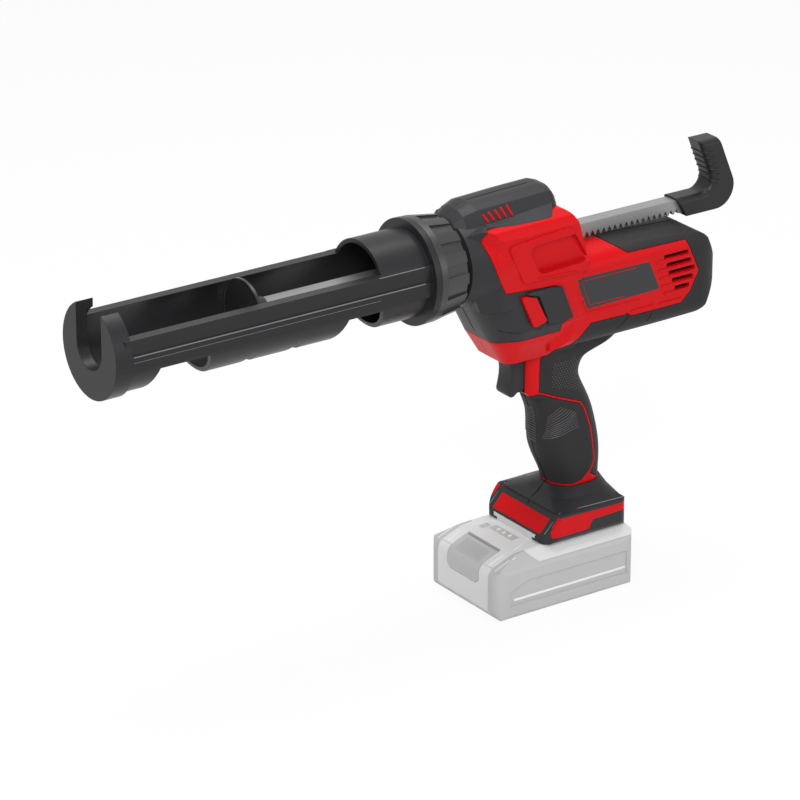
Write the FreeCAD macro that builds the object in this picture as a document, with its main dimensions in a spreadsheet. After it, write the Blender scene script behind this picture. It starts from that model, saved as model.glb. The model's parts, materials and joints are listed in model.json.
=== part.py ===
import FreeCAD, Part
import math
import os
import re
import Sketcher

# Cordless caulking tool: a trough for a sealant cartridge, a toothed push rod driven by a
# geared motor, a pistol handle and a slide-on battery.
# Frame: origin on the battery's underside, below the handle, +X to the rear, +Z up, left side at -Y.

Vector = FreeCAD.Vector
doc = FreeCAD.newDocument("caulking_tool")
sheet = doc.addObject("Spreadsheet::Sheet", "sizes")

SIZES = (
    # shared
    ("axis_height", "250", "barrel axis above the battery's underside"),
    ("running_gap", "0.3", "clearance between pieces that move past each other"),
    ("shaft_clearance", "0.04", "radial clearance of a shaft in its bush"),
    ("seam", "0.4", "open seam between two mouldings"),
    ("overrun", "2", "how far a cutting tool runs past the face it cuts"),
    # cradle
    ("cradle_reach", "348", "front face of the cradle ahead of the origin"),
    ("cradle_diameter", "60", "outside of the trough"),
    ("cradle_wall", "3", "wall of the trough"),
    ("cap_diameter", "64", "front cap"),
    ("cap_depth", "12.5", "length of the front cap"),
    ("cap_plate", "8", "end plate of the front cap"),
    ("nozzle_slot_width", "30", "slot that the cartridge's nozzle drops into"),
    ("nozzle_slot_rise", "2.5", "centre of the slot's round bottom above the axis"),
    ("rail_rise", "14", "top edge of the side walls above the axis"),
    ("rail_ledge_rise", "3.2", "ledge on the side wall above the axis"),
    ("rail_drop", "7", "lower edge of the side rail below the axis"),
    ("rail_stand_off", "0.5", "upper rail beyond the trough's outside"),
    ("rail_ledge_width", "1", "lower rail beyond the upper rail"),
    ("window_drop", "10", "upper edge of the bottom windows below the axis"),
    ("front_bridge", "22", "solid bottom behind the cap"),
    ("lobe_start", "71", "first bottom lobe behind the front face"),
    ("lobe_length", "35", "one bottom lobe"),
    ("lobe_slope", "7", "run of a lobe's slanted end"),
    ("sleeve_start", "202", "closed sleeve behind the front face"),
    ("stop_ring_diameter", "72", "ring in front of the union nut"),
    ("stop_ring_length", "4.5", "length of that ring"),
    ("cradle_neck_diameter", "52.5", "neck under the nut's lip"),
    ("neck_bore", "48.5", "bore of the trough under the nut"),
    ("flange_diameter", "57", "captive flange inside the nut"),
    ("flange_length", "4.5", "length of that flange"),
    # union nut and threaded ring
    ("collar_diameter", "71.6", "front rim of the union nut"),
    ("collar_rear_diameter", "66", "rear end of the union nut"),
    ("collar_length", "23", "length of the union nut"),
    ("collar_lip_length", "5", "lip that pulls on the flange"),
    ("collar_rim", "5", "plain front rim of the nut"),
    ("lug_height", "1.8", "depth of the recesses between the grip lugs"),
    ("lug_gap", "7.1", "width of one such recess"),
    ("ring_wall", "2.5", "wall of the threaded ring in the nose's wall"),
    ("ring_hook", "2", "hook of the ring behind the nose's wall"),
    ("guide_length", "12", "front guide of the rod"),
    # push rod
    ("plunger_station", "113", "plunger face behind the cradle's front face"),
    ("plunger_diameter", "47", "plunger plate"),
    ("plunger_plate", "3.5", "plate of the plunger"),
    ("plunger_rim", "7", "length of the plunger's rim"),
    ("plunger_rim_wall", "2", "wall of that rim"),
    ("hub_diameter", "19", "hub that holds the rod"),
    ("hub_length", "16", "length of the hub"),
    ("rod_width", "10", "width of the rod"),
    ("rod_height", "10", "height of the rod over its teeth"),
    ("rod_length", "365", "length of the rod"),
    ("gear_module", "1.5", "module of the rack and the gears"),
    ("backlash", "0.12", "thinning of each tooth"),
    ("plunger_screw_diameter", "5", "screw of the plunger"),
    ("plunger_screw_length", "18", "length of that screw"),
    ("socket_depth", "25", "rod in the pull handle"),
    ("grip_width", "18", "width of the pull handle"),
    ("grip_wall", "1.5", "wall of the handle around the rod"),
    ("grip_reach", "54.5", "length of the handle's lower leg"),
    ("grip_rise", "43.5", "top of the handle above the axis"),
    ("grip_thickness", "16", "thickness of the upright leg"),
    ("grip_lean", "20.4", "forward lean of the upright leg at its top"),
    ("grip_bend", "15", "outer radius of the bend"),
    ("grip_slant", "7", "slant of the lower leg's front end"),
    ("grip_edge", "4.5", "rounded edges of the handle"),
    ("handle_pin_diameter", "4", "cross pin of the handle"),
    # drive
    ("pinion_setback", "22", "pinion ahead of the origin"),
    ("pinion_width", "12", "face of the rack pinion"),
    ("gear_width", "7", "face of the gear pair"),
    ("gear_side_gap", "2", "side clearance of the gears"),
    ("shaft_diameter", "8", "pinion and drive shafts"),
    ("bush_diameter", "14", "outside of a shaft bush"),
    ("frame_inner_width", "34", "between the frame's side plates"),
    ("frame_plate", "4", "plates of the drive frame"),
    ("frame_front_length", "20", "frame ahead of the pinion"),
    ("frame_rear_length", "20", "frame behind the pinion"),
    ("slide_pad_thickness", "4.6", "slide pad behind the rack"),
    ("slide_pad_length", "24", "length of the slide pad"),
    ("rear_guide_length", "7", "rear guide of the rod"),
    ("gear_head_height", "25", "head of the gear unit"),
    ("gear_drum_diameter", "40", "drum of the gear unit"),
    ("gear_drum_length", "34", "length of that drum"),
    ("motor_diameter", "42", "motor can"),
    ("motor_length", "56", "length of the motor can"),
    ("end_cap_diameter", "36", "brush end cap"),
    ("end_cap_length", "13", "length of the end cap"),
    ("rotor_shaft_diameter", "5", "motor shaft"),
    ("fan_diameter", "44", "cooling fan"),
    ("fan_length", "8", "length of the fan"),
    ("fan_plate", "1.6", "back plate and blades of the fan"),
    ("board_length", "42", "control board"),
    ("board_width", "32", "width of the board"),
    ("board_thickness", "1.6", "thickness of the board"),
    ("board_post", "3", "height of the posts under the board"),
    ("board_post_diameter", "4.5", "one of those posts"),
    ("board_post_edge", "6.6", "posts from the board's ends"),
    # housing
    ("nose_reach", "81", "front face of the nose ahead of the origin"),
    ("neck_diameter", "58", "round front of the nose"),
    ("neck_flare_diameter", "68", "round nose at its widest"),
    ("neck_flare", "24", "length of the nose's flare"),
    ("wall", "3", "wall of the housing"),
    ("soft_skin", "1.5", "thickness of the soft overmould"),
    ("inlay", "1.2", "thickness of inlaid panels"),
    ("parting", "0.25", "open parting line between the halves"),
    ("gear_case_length", "96", "gear case from the nose to its rear slope"),
    ("gear_case_width", "66", "width of the gear case"),
    ("gear_case_drop", "75.5", "underside of the gear case below the axis"),
    ("hood_rise", "42", "top of the hood above the axis"),
    ("hood_width", "40", "width of the hood"),
    ("hood_root", "7", "hidden lower edge of the hood above the axis"),
    ("case_corner", "12", "upright front corners of the gear case"),
    ("chin_width", "64", "width of the lower gear case"),
        ("panel_raise", "1.4", "raised frame on the red panel"),
    ("panel_pocket", "4.5", "depth of the pocket in the red panel"),
    ("motor_case_front", "10", "front of the motor case ahead of the origin"),
    ("motor_case_length", "142", "length of the motor case"),
    ("motor_case_width", "62", "width of the motor case"),
    ("motor_case_height", "65", "height of the motor case"),
    ("motor_case_drop", "7", "top of the motor case below the axis"),
    ("motor_case_corner", "20", "upright rear corners of the motor case"),
    ("motor_case_edge", "13", "long edges of the motor case"),
    ("column_front", "19", "front of the trigger column ahead of the origin"),
    ("column_width", "30", "width of the trigger column"),
    ("column_drop", "108", "lower end of the trigger column below the axis"),
    ("column_corner", "8", "corners of the trigger column"),
    ("handle_front", "24", "reference of the handle's outlines ahead of the origin"),
    ("handle_top_drop", "62", "hidden top of the handle below the axis"),
    ("handle_depth", "44", "depth of the handle at its foot"),
    ("handle_width", "35", "width of the handle"),
    ("foot_front", "20.5", "front of the foot ahead of the origin"),
    ("foot_length", "70.5", "length of the foot"),
    ("foot_width", "73", "width of the foot"),
    ("foot_height", "22", "height of the foot's sides"),
    ("foot_crown", "6.9", "crown of the foot around the handle"),
    ("foot_panel_width", "54", "red panel on the foot's front"),
    ("foot_panel_depth", "11.2", "reach of that panel behind the foot's front"),
    ("foot_corner", "6", "upright corners of the foot"),
    ("vent_height", "2.8", "height of one vent slot"),
    ("rib", "3", "thickness of an inner rib"),
    ("case_edge", "5", "rounded edges of the gear case"),
    ("boss_diameter", "10", "screw boss"),
    ("screw_diameter", "3.5", "housing screw"),
    ("screw_head_diameter", "6.5", "head of a housing screw"),
    ("screw_head_length", "2.6", "length of that head"),
    ("screw_seat", "8", "seat of the screw heads right of the parting plane"),
    ("screw_grip", "9", "screw left of the parting plane"),
    # controls
    ("trigger_width", "18", "width of the trigger"),
    ("trigger_height", "28", "height of the trigger"),
    ("trigger_reach", "15", "trigger ahead of its column"),
    ("trigger_travel", "6", "travel of the trigger"),
    ("trigger_stem_diameter", "6", "stem between trigger and switch"),
    ("switch_length", "18", "switch behind the trigger"),
    ("switch_width", "20", "width of the switch"),
    ("switch_gap", "2", "trigger at full travel ahead of the switch"),
    ("button_proud", "2.2", "button beyond the side wall"),
    ("button_travel", "3", "travel of the release button"),
    ("button_flange", "2", "flange that keeps the button in"),
    # battery
    ("cell_diameter", "18.2", "one cell"),
    ("cell_length", "65", "length of a cell"),
    ("cell_gap", "0.3", "space between cells"),
    ("battery_wall", "2.6", "wall of the battery case"),
    ("battery_side_space", "4.4", "space beside the cells"),
    ("battery_headroom", "1.2", "space above the cells"),
    ("battery_corner", "8", "upright corners of the battery"),
    ("battery_rear", "54.7", "rear of the battery behind the origin"),
    ("battery_split", "35.5", "joint of the battery's two case halves above its underside"),
    ("battery_frame_width", "58", "pale frame on the battery's front"),
    ("side_recess", "0.8", "depth of the panels in the battery's sides"),
    ("tongue_width", "48", "slide rails of the battery"),
    ("tongue_length", "63", "length of the slide rails"),
    ("tongue_front", "19", "front of the slide rails ahead of the origin"),
    ("tongue_height", "4.8", "height of the slide rails"),
    ("tongue_flange", "2.8", "height of the rails' flange"),
    ("tongue_undercut", "4", "undercut of the rails"),
    ("latch_width", "36", "release latch of the battery"),
    ("latch_depth", "21", "cells behind the battery's front"),
    ("latch_rise", "21", "underside of the latch above the battery's underside"),
    ("latch_travel", "2", "travel of the latch"),
    ("indicator_length", "6.5", "charge indicator"),
    ("indicator_width", "26", "width of the charge indicator"),
    ("indicator_setback", "31", "charge indicator behind the battery's front"),
    ("terminal_length", "21", "terminal block in the foot"),
    ("terminal_width", "40", "width of the terminal block"),
    ("terminal_height", "9", "height of the terminal block"),
    ("blade_thickness", "1", "terminal blade"),
    ("blade_length", "12", "length of a terminal blade"),
    ("blade_drop", "4", "terminal blade below its block"),
)
for row, (alias, number, note) in enumerate(SIZES, start=1):
    sheet.set(f"A{row}", note)
    sheet.set(f"B{row}", number)
    sheet.setAlias(f"B{row}", alias)
doc.recompute()

ALIASES = {alias for alias, number, note in SIZES}

# Counts.
PINION_TEETH = 12
DRIVEN_TEETH = 22
DRIVE_TEETH = 14
TEETH_AHEAD = 36
TEETH_BEHIND = 28
LOBES = 3
LUGS = 14
FAN_BLADES = 9
CELL_ROWS = 5
CELL_LAYERS = 2
BLADES = 3
PRESSURE_ANGLE = math.radians(25)


def qualified(text):
    """Point the bare size names of an expression at the sheet."""
    return re.sub(r"[a-z_]+", lambda word: f"sizes.{word[0]}" if word[0] in ALIASES else word[0], text)


def bind(thing, prop, text):
    thing.setExpression(prop, qualified(str(text)))


def num(text):
    """Value of an expression in the sheet's sizes."""
    return float(sheet.evalExpression(str(text)))


def place(thing, x="0", y="0", z="0"):
    for letter, text in zip("xyz", (x, y, z)):
        bind(thing, f"Placement.Base.{letter}", text)


# Stations, each an expression in the sheet's sizes.
AXIS = "axis_height"
CAP_FACE = "(-cradle_reach)"
NOSE_FRONT = "(-nose_reach)"
COLLAR_REAR = f"({NOSE_FRONT} - running_gap)"
COLLAR_FRONT = f"({COLLAR_REAR} - collar_length)"
STOP_REAR = f"({COLLAR_FRONT} - running_gap)"
STOP_FRONT = f"({STOP_REAR} - stop_ring_length)"
FLANGE_FRONT = f"({COLLAR_FRONT} + collar_lip_length + running_gap)"
FLANGE_REAR = f"({FLANGE_FRONT} + flange_length)"
RING_FRONT = f"({FLANGE_REAR} + running_gap)"
PLUNGER_FACE = f"({CAP_FACE} + plunger_station)"
ROD_FRONT = f"({PLUNGER_FACE} + plunger_plate)"
ROD_REAR = f"({ROD_FRONT} + rod_length)"
GRIP_FRONT = f"({ROD_REAR} - socket_depth)"
GRIP_BOTTOM = "(axis_height - rod_height / 2 - grip_wall)"
GRIP_TOP_LEG = "(axis_height + rod_height / 2 + grip_wall)"
PINION_X = "(-pinion_setback)"
PITCH = f"(gear_module * {math.pi})"
PINION_Z = f"(axis_height - rod_height / 2 + gear_module - gear_module * {PINION_TEETH} / 2)"
DRIVE_Z = f"({PINION_Z} - gear_module * {DRIVEN_TEETH + DRIVE_TEETH} / 2)"
GEAR_LEFT = "(pinion_width / 2 + gear_side_gap)"
FRAME_FRONT = f"({PINION_X} - frame_front_length)"
FRAME_REAR = f"({PINION_X} + frame_rear_length)"
FRAME_CEILING = "(axis_height + rod_height / 2 + running_gap + slide_pad_thickness)"
FRAME_TOP = f"({FRAME_CEILING} + frame_plate)"
FRAME_FLOOR = f"({DRIVE_Z} - gear_module * ({DRIVE_TEETH} / 2 + 1) - gear_side_gap)"
FRAME_BOTTOM = f"({FRAME_FLOOR} - frame_plate)"
FRAME_SIDE = "(frame_inner_width / 2 + frame_plate)"
MOTOR_FRONT = f"({FRAME_REAR} + gear_drum_length)"
MOTOR_REAR = f"({MOTOR_FRONT} + motor_length)"
END_CAP_REAR = f"({MOTOR_REAR} + end_cap_length)"
FAN_FRONT = f"({END_CAP_REAR} + gear_side_gap)"
FAN_REAR = f"({FAN_FRONT} + fan_length)"
CELLS_LENGTH = f"({CELL_ROWS} * (cell_diameter + cell_gap) + cell_gap)"
BATTERY_LENGTH = f"(latch_depth + {CELLS_LENGTH} + battery_wall)"
BATTERY_FRONT = f"(battery_rear - {BATTERY_LENGTH})"
BATTERY_SIDE = "(cell_length / 2 + battery_side_space + battery_wall)"
CELLS_FRONT = f"({BATTERY_FRONT} + latch_depth)"
BATTERY_DECK = f"(2 * battery_wall + {CELL_LAYERS} * (cell_diameter + cell_gap) + battery_headroom)"
TONGUE_TOP = f"({BATTERY_DECK} + tongue_height)"
TONGUE_REAR = "(tongue_length - tongue_front)"
FOOT_BOTTOM = f"({BATTERY_DECK} + running_gap)"
FOOT_SHOULDER = f"({FOOT_BOTTOM} + foot_height)"
FOOT_TOP = f"({FOOT_SHOULDER} + foot_crown)"
FOOT_REAR = "(foot_length - foot_front)"
CHANNEL_TOP = f"({TONGUE_TOP} + running_gap)"
TRIGGER_FRONT = "(-column_front - trigger_reach)"
TRIGGER_TOP = "(axis_height - gear_case_drop - running_gap)"
TRIGGER_BOTTOM = f"({TRIGGER_TOP} - trigger_height)"
TRIGGER_BACK = "(-column_front + wall + trigger_travel + switch_gap)"
SWITCH_FRONT = f"({TRIGGER_BACK} + trigger_travel + switch_gap)"
SWITCH_SHELF = "(axis_height - column_drop + wall)"

SQUARE_TO = {"x": Vector(1, 0, 0), "y": Vector(0, 1, 0), "z": Vector(0, 0, 1)}


def turned(letter):
    """Placement that lays a thing built along +Z along another axis."""
    return FreeCAD.Placement(Vector(), FreeCAD.Rotation(Vector(0, 0, 1), SQUARE_TO[letter]))


def cylinder(name, diameter, length, letter, x, y, z):
    item = doc.addObject("Part::Cylinder", name)
    item.Placement = turned(letter)
    bind(item, "Radius", f"({diameter}) / 2")
    bind(item, "Height", length)
    place(item, x, y, z)
    return item


def block(name, low, high):
    """Box between two corners."""
    item = doc.addObject("Part::Box", name)
    for prop, start, end in zip(("Length", "Width", "Height"), low, high):
        bind(item, prop, f"({end}) - ({start})")
    place(item, *low)
    return item


def fuse(name, *items):
    joined = doc.addObject("Part::MultiFuse", name)
    joined.Shapes = list(items)
    return joined


def cut(name, base, *tools):
    item = doc.addObject("Part::Cut", name)
    item.Base = base
    item.Tool = tools[0] if len(tools) == 1 else fuse(f"{name}_tools", *tools)
    return item


def common(name, *items):
    shared = doc.addObject("Part::MultiCommon", name)
    shared.Shapes = list(items)
    return shared


def group(name, *items):
    """Several separate solids kept as one node."""
    held = doc.addObject("Part::Compound", name)
    held.Links = list(items)
    return held


def feature(name, shape, x="0", y="0", z="0"):
    item = doc.addObject("Part::Feature", name)
    item.Shape = shape
    place(item, x, y, z)
    return item


NODES = []


def node(label, item):
    item.Label = label
    NODES.append(item)
    return item


def new_body(name):
    return doc.addObject("PartDesign::Body", name)


def origin_part(body, role):
    return next(item for item in body.Origin.OriginFeatures if item.Role == role)


def new_sketch(body, plane, level="0"):
    sketch = body.newObject("Sketcher::SketchObject", f"{body.Name}_sketch")
    sketch.AttachmentSupport = [(origin_part(body, plane), "")]
    sketch.MapMode = "FlatFace"
    bind(sketch, "AttachmentOffset.Base.z", level)
    return sketch


def outline_sketch(body, plane, corners, level="0"):
    """Closed outline whose corners are bound to the sheet."""
    sketch = new_sketch(body, plane, level)
    points = [Vector(num(u), num(v), 0) for u, v in corners]
    for index, start in enumerate(points):
        sketch.addGeometry(Part.LineSegment(start, points[(index + 1) % len(points)]), False)
    for index in range(len(points)):
        sketch.addConstraint(Sketcher.Constraint("Coincident", index, 2, (index + 1) % len(points), 1))
    for index, texts in enumerate(corners):
        for kind, text in zip(("DistanceX", "DistanceY"), texts):
            line = sketch.addConstraint(Sketcher.Constraint(kind, -1, 1, index, 1, num(text)))
            bind(sketch, f"Constraints[{line}]", text)
    return sketch


def circle_sketch(body, plane, diameter, centre=("0", "0"), level="0"):
    sketch = new_sketch(body, plane, level)
    middle = Vector(num(centre[0]), num(centre[1]), 0)
    sketch.addGeometry(Part.Circle(middle, Vector(0, 0, 1), num(f"({diameter}) / 2")), False)
    for kind, text in zip(("DistanceX", "DistanceY"), centre):
        line = sketch.addConstraint(Sketcher.Constraint(kind, -1, 1, 0, 3, num(text)))
        bind(sketch, f"Constraints[{line}]", text)
    line = sketch.addConstraint(Sketcher.Constraint("Diameter", 0, num(diameter)))
    bind(sketch, f"Constraints[{line}]", diameter)
    return sketch


def pad(body, sketch, length, both_ways=False, backwards=False):
    item = body.newObject("PartDesign::Pad", f"{body.Name}_pad")
    item.Profile = sketch
    item.SideType = "Symmetric" if both_ways else "One side"
    item.Reversed = backwards
    bind(item, "Length", length)
    return item


def pocket(body, sketch, length, both_ways=False, backwards=False):
    """Cut a sketch out of the body; the volume must fall."""
    doc.recompute()
    before = body.Shape.Volume
    item = body.newObject("PartDesign::Pocket", f"{body.Name}_pocket")
    item.Profile = sketch
    item.SideType = "Symmetric" if both_ways else "One side"
    item.Reversed = backwards
    bind(item, "Length", length)
    doc.recompute()
    if not body.Shape.Volume < before:
        raise RuntimeError(f"a pocket of {body.Name} cuts nothing")
    return item


def revolved(name, outline, x, y="0", z=AXIS):
    """Turned piece along X: an outline of (axial, radial) corners spun about the axis."""
    body = new_body(name)
    sketch = outline_sketch(body, "XY_Plane", outline)
    turn = body.newObject("PartDesign::Revolution", f"{name}_turn")
    turn.Profile = sketch
    turn.ReferenceAxis = (sketch, ["H_Axis"])
    turn.Angle = 360
    place(body, x, y, z)
    return body


def patterned(body, kind, original, axis, count, reach):
    """Repeat a feature along or around one of the body's own axes."""
    item = body.newObject(f"PartDesign::{kind}", f"{body.Name}_pattern")
    item.Originals = [original]
    if kind == "PolarPattern":
        item.Axis = (origin_part(body, axis), [""])
        item.Angle = reach
    else:
        item.Direction = (origin_part(body, axis), [""])
        bind(item, "Length", reach)
    item.Occurrences = count
    body.Tip = item
    return item


def rounded_edges(body, radius, chosen):
    """Fillet the edges of the body that the test picks."""
    doc.recompute()
    base = body.Tip
    names = [f"Edge{index}" for index, edge in enumerate(body.Shape.Edges, start=1) if chosen(edge)]
    item = body.newObject("PartDesign::Fillet", f"{body.Name}_fillet")
    item.Base = (base, names)
    bind(item, "Radius", radius)
    body.Tip = item
    return item


# Free-form mouldings: each is the part that three outlines share, seen from the side, from
# above and from the front. An inset draws every outline inward for the inside of a wall.

def signed_area(points):
    return sum(a[0] * b[1] - b[0] * a[1] for a, b in zip(points, points[1:] + points[:1])) / 2


def inset_outline(points, inset):
    """Move every side of an outline of (u, v, radius) corners inward by the inset."""
    points = list(points) if signed_area(points) > 0 else list(reversed(points))
    moved = []
    for index, (u, v, radius) in enumerate(points):
        before, after = points[index - 1], points[(index + 1) % len(points)]
        first = Vector(u - before[0], v - before[1], 0).normalize()
        second = Vector(after[0] - u, after[1] - v, 0).normalize()
        turn = first.cross(second).z
        reach = inset / (1 + first.dot(second))
        corner = Vector(u, v, 0) + Vector(-first.y - second.y, first.x + second.x, 0) * reach
        spread = radius - inset if turn > 0 else radius + inset
        moved.append((corner.x, corner.y, max(spread, 0) if radius else 0))
    return moved


FILLET_LIMIT_SHARE = 0.48
PLANES = {
    "XZ": (lambda u, v, level: Vector(u, level, v), Vector(0, 1, 0)),
    "XY": (lambda u, v, level: Vector(u, v, level), Vector(0, 0, 1)),
    "YZ": (lambda u, v, level: Vector(level, u, v), Vector(1, 0, 0)),
}


def outline_face(points, plane, level):
    """Face of an outline of (u, v, radius) corners, rounded where the radius isn't zero."""
    lay, normal = PLANES[plane]
    stops = []
    for index, (u, v, radius) in enumerate(points):
        corner = Vector(u, v, 0)
        back = Vector(*points[index - 1][:2], 0) - corner
        ahead = Vector(*points[(index + 1) % len(points)][:2], 0) - corner
        opening = back.getAngle(ahead)
        room = min(back.Length, ahead.Length) * FILLET_LIMIT_SHARE
        reach = min(radius / math.tan(opening / 2), room) if radius else 0
        if not reach:
            stops.append((corner, None, corner))
            continue
        start, end = corner + back.normalize() * reach, corner + ahead.normalize() * reach
        used = reach * math.tan(opening / 2)
        inward = (back + ahead).normalize()
        middle = corner + inward * (used / math.sin(opening / 2) - used)
        stops.append((start, middle, end))
    edges = []
    for index, (start, middle, end) in enumerate(stops):
        if middle is not None:
            laid = [lay(point.x, point.y, level) for point in (start, middle, end)]
            edges.append(Part.Arc(*laid).toShape())
        following = stops[(index + 1) % len(stops)][0]
        edges.append(Part.makeLine(lay(end.x, end.y, level), lay(following.x, following.y, level)))
    return Part.Face(Part.Wire(edges))


def prism(points, plane, low, high):
    return outline_face(points, plane, low).extrude(PLANES[plane][1] * (high - low))


def spread(shares, left, width, base, height, radius=0):
    """Corners from shares of a width and a height, with radii as shares of a radius."""
    return [(left + row[0] * width, base + row[1] * height, radius * (row[2] if len(row) > 2 else 0))
            for row in shares]


def carved(side, plan, section, inset):
    """Solid that the three outlines share."""
    side, plan, section = (inset_outline(points, inset) for points in (side, plan, section))
    us, vs = [p[0] for p in side], [p[1] for p in side]
    ys = [p[1] for p in plan]
    return prism(side, "XZ", min(ys), max(ys)).common(
        [prism(plan, "XY", min(vs), max(vs))]).common([prism(section, "YZ", min(us), max(us))])


def slab(low, high):
    """Plain box shape between two corners."""
    return Part.makeBox(*(b - a for a, b in zip(low, high)), Vector(*low))


def drum(diameter, start, reach):
    """Plain cylinder shape from a point along a vector."""
    return Part.makeCylinder(diameter / 2, reach.Length, start, reach)


# Cradle: a turned tube opened at the top, with a slotted cap, side rails and bottom windows.

def local(text):
    """Station along the cradle, from its front face."""
    return f"({text} + cradle_reach)"


OUT = "cradle_diameter / 2"
INSIDE = "(cradle_diameter / 2 - cradle_wall)"
cradle = revolved("cradle_body", (
    ("0", "0"), ("0", "cap_diameter / 2"), ("cap_depth", "cap_diameter / 2"), ("cap_depth", OUT),
    (local(STOP_FRONT), OUT), (local(STOP_FRONT), "stop_ring_diameter / 2"),
    (local(STOP_REAR), "stop_ring_diameter / 2"), (local(STOP_REAR), "cradle_neck_diameter / 2"),
    (local(FLANGE_FRONT), "cradle_neck_diameter / 2"), (local(FLANGE_FRONT), "flange_diameter / 2"),
    (local(FLANGE_REAR), "flange_diameter / 2"), (local(FLANGE_REAR), "neck_bore / 2"),
    (local(STOP_FRONT), "neck_bore / 2"), (local(STOP_FRONT), INSIDE), ("cap_plate", INSIDE),
    ("cap_plate", "0")), CAP_FACE)
RAILS = (("rail_ledge_rise", "rail_rise", f"({OUT} + rail_stand_off)"),
         ("-rail_drop", "rail_ledge_rise", f"({OUT} + rail_stand_off + rail_ledge_width)"))
for low, high, outer in RAILS:
    for side in ("", "-"):
        rail = outline_sketch(cradle, "YZ_Plane", (
            (f"{side}({INSIDE} - cradle_wall)", low), (f"{side}{outer}", low),
            (f"{side}{outer}", high), (f"{side}({INSIDE} - cradle_wall)", high)), "cap_plate")
        pad(cradle, rail, f"{local(STOP_FRONT)} - cap_plate")
BORE_FROM_PLATE = f"{local(STOP_FRONT)} - cap_plate"
pocket(cradle, circle_sketch(cradle, "YZ_Plane", f"2 * {INSIDE}", level="cap_plate"), BORE_FROM_PLATE,
       backwards=True)
ABOVE = "(stop_ring_diameter / 2 + overrun)"
pocket(cradle, outline_sketch(cradle, "XZ_Plane", (
    ("cap_depth", "rail_rise"), ("sleeve_start", "rail_rise"), ("sleeve_start", ABOVE),
    ("cap_depth", ABOVE))), "2 * stop_ring_diameter", both_ways=True)
SLOT = "nozzle_slot_width / 2"
pocket(cradle, outline_sketch(cradle, "YZ_Plane", (
    (f"-{SLOT}", "nozzle_slot_rise"), (SLOT, "nozzle_slot_rise"), (SLOT, ABOVE), (f"-{SLOT}", ABOVE))),
    "cap_depth", backwards=True)
pocket(cradle, circle_sketch(cradle, "YZ_Plane", "nozzle_slot_width", ("0", "nozzle_slot_rise")),
       "cap_depth", backwards=True)
BELOW = f"-({OUT} + overrun)"
LOBES_END = f"(lobe_start + {LOBES} * lobe_length)"
WINDOWS = [(("cap_depth + front_bridge", "-window_drop"), ("lobe_start", "-window_drop"),
            ("lobe_start + lobe_slope", BELOW), ("cap_depth + front_bridge - lobe_slope", BELOW)),
           ((LOBES_END, "-window_drop"), ("sleeve_start", "-window_drop"),
            ("sleeve_start + lobe_slope", BELOW), (f"{LOBES_END} - lobe_slope", BELOW))]
for notch in range(1, LOBES):
    middle = f"(lobe_start + {notch} * lobe_length)"
    WINDOWS.append(((middle, "-(window_drop + lobe_slope)"), (f"{middle} + lobe_slope", BELOW),
                    (f"{middle} - lobe_slope", BELOW)))
for corners in WINDOWS:
    pocket(cradle, outline_sketch(cradle, "XZ_Plane", corners), "2 * stop_ring_diameter", both_ways=True)
node("cradle", cradle)

# Union nut, threaded ring and front guide.

LIP_BORE = "(cradle_neck_diameter / 2 + running_gap)"
NUT_BORE = "(flange_diameter / 2 + running_gap)"
collar = revolved("collar_body", (
    ("0", LIP_BORE), ("0", "collar_diameter / 2"), ("collar_rim", "collar_diameter / 2"),
    ("collar_length", "collar_rear_diameter / 2"), ("collar_length", NUT_BORE),
    ("collar_lip_length", NUT_BORE), ("collar_lip_length", LIP_BORE)), COLLAR_FRONT)
recess = pocket(collar, outline_sketch(collar, "XZ_Plane", (
    ("collar_rim", "collar_diameter / 2 - lug_height"), ("collar_rim", "collar_diameter / 2 + overrun"),
    ("collar_length + overrun", "collar_diameter / 2 + overrun"),
    ("collar_length + overrun", "collar_rear_diameter / 2 - lug_height"))), "lug_gap", both_ways=True)
patterned(collar, "PolarPattern", recess, "X_Axis", LUGS, 360)
node("union_nut", collar)

RING_SEAT = f"({NOSE_FRONT} - {RING_FRONT})"
HOOK_RADIUS = "(neck_diameter / 2 - wall - running_gap)"
TAIL_RADIUS = f"({HOOK_RADIUS} - ring_hook)"
RING_BORE = f"(2 * ({TAIL_RADIUS} - ring_wall))"
HOOK_FRONT = f"({RING_SEAT} + wall)"
HOOK_REAR = f"({HOOK_FRONT} + ring_hook)"
node("threaded_ring", revolved("threaded_ring_body", (
    ("0", f"{RING_BORE} / 2"), ("0", "flange_diameter / 2"), (RING_SEAT, "flange_diameter / 2"),
    (RING_SEAT, TAIL_RADIUS), (HOOK_FRONT, TAIL_RADIUS), (HOOK_FRONT, HOOK_RADIUS),
    (HOOK_REAR, HOOK_RADIUS),
    (HOOK_REAR, f"{RING_BORE} / 2")), RING_FRONT))


def rod_passage(name, start, end):
    """Square hole that the rod slides through."""
    half, rise = "(rod_width / 2 + running_gap)", "(rod_height / 2 + running_gap)"
    return block(name, (f"{start} - overrun", f"-{half}", f"{AXIS} - {rise}"),
                 (f"{end} + overrun", half, f"{AXIS} + {rise}"))


node("front_rod_guide", cut("front_guide", cylinder(
    "front_guide_blank", RING_BORE, "guide_length", "x", RING_FRONT, "0", AXIS),
    rod_passage("front_guide_hole", RING_FRONT, f"{RING_FRONT} + guide_length")))

# Push rod: rack, plunger and pull handle.

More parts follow.
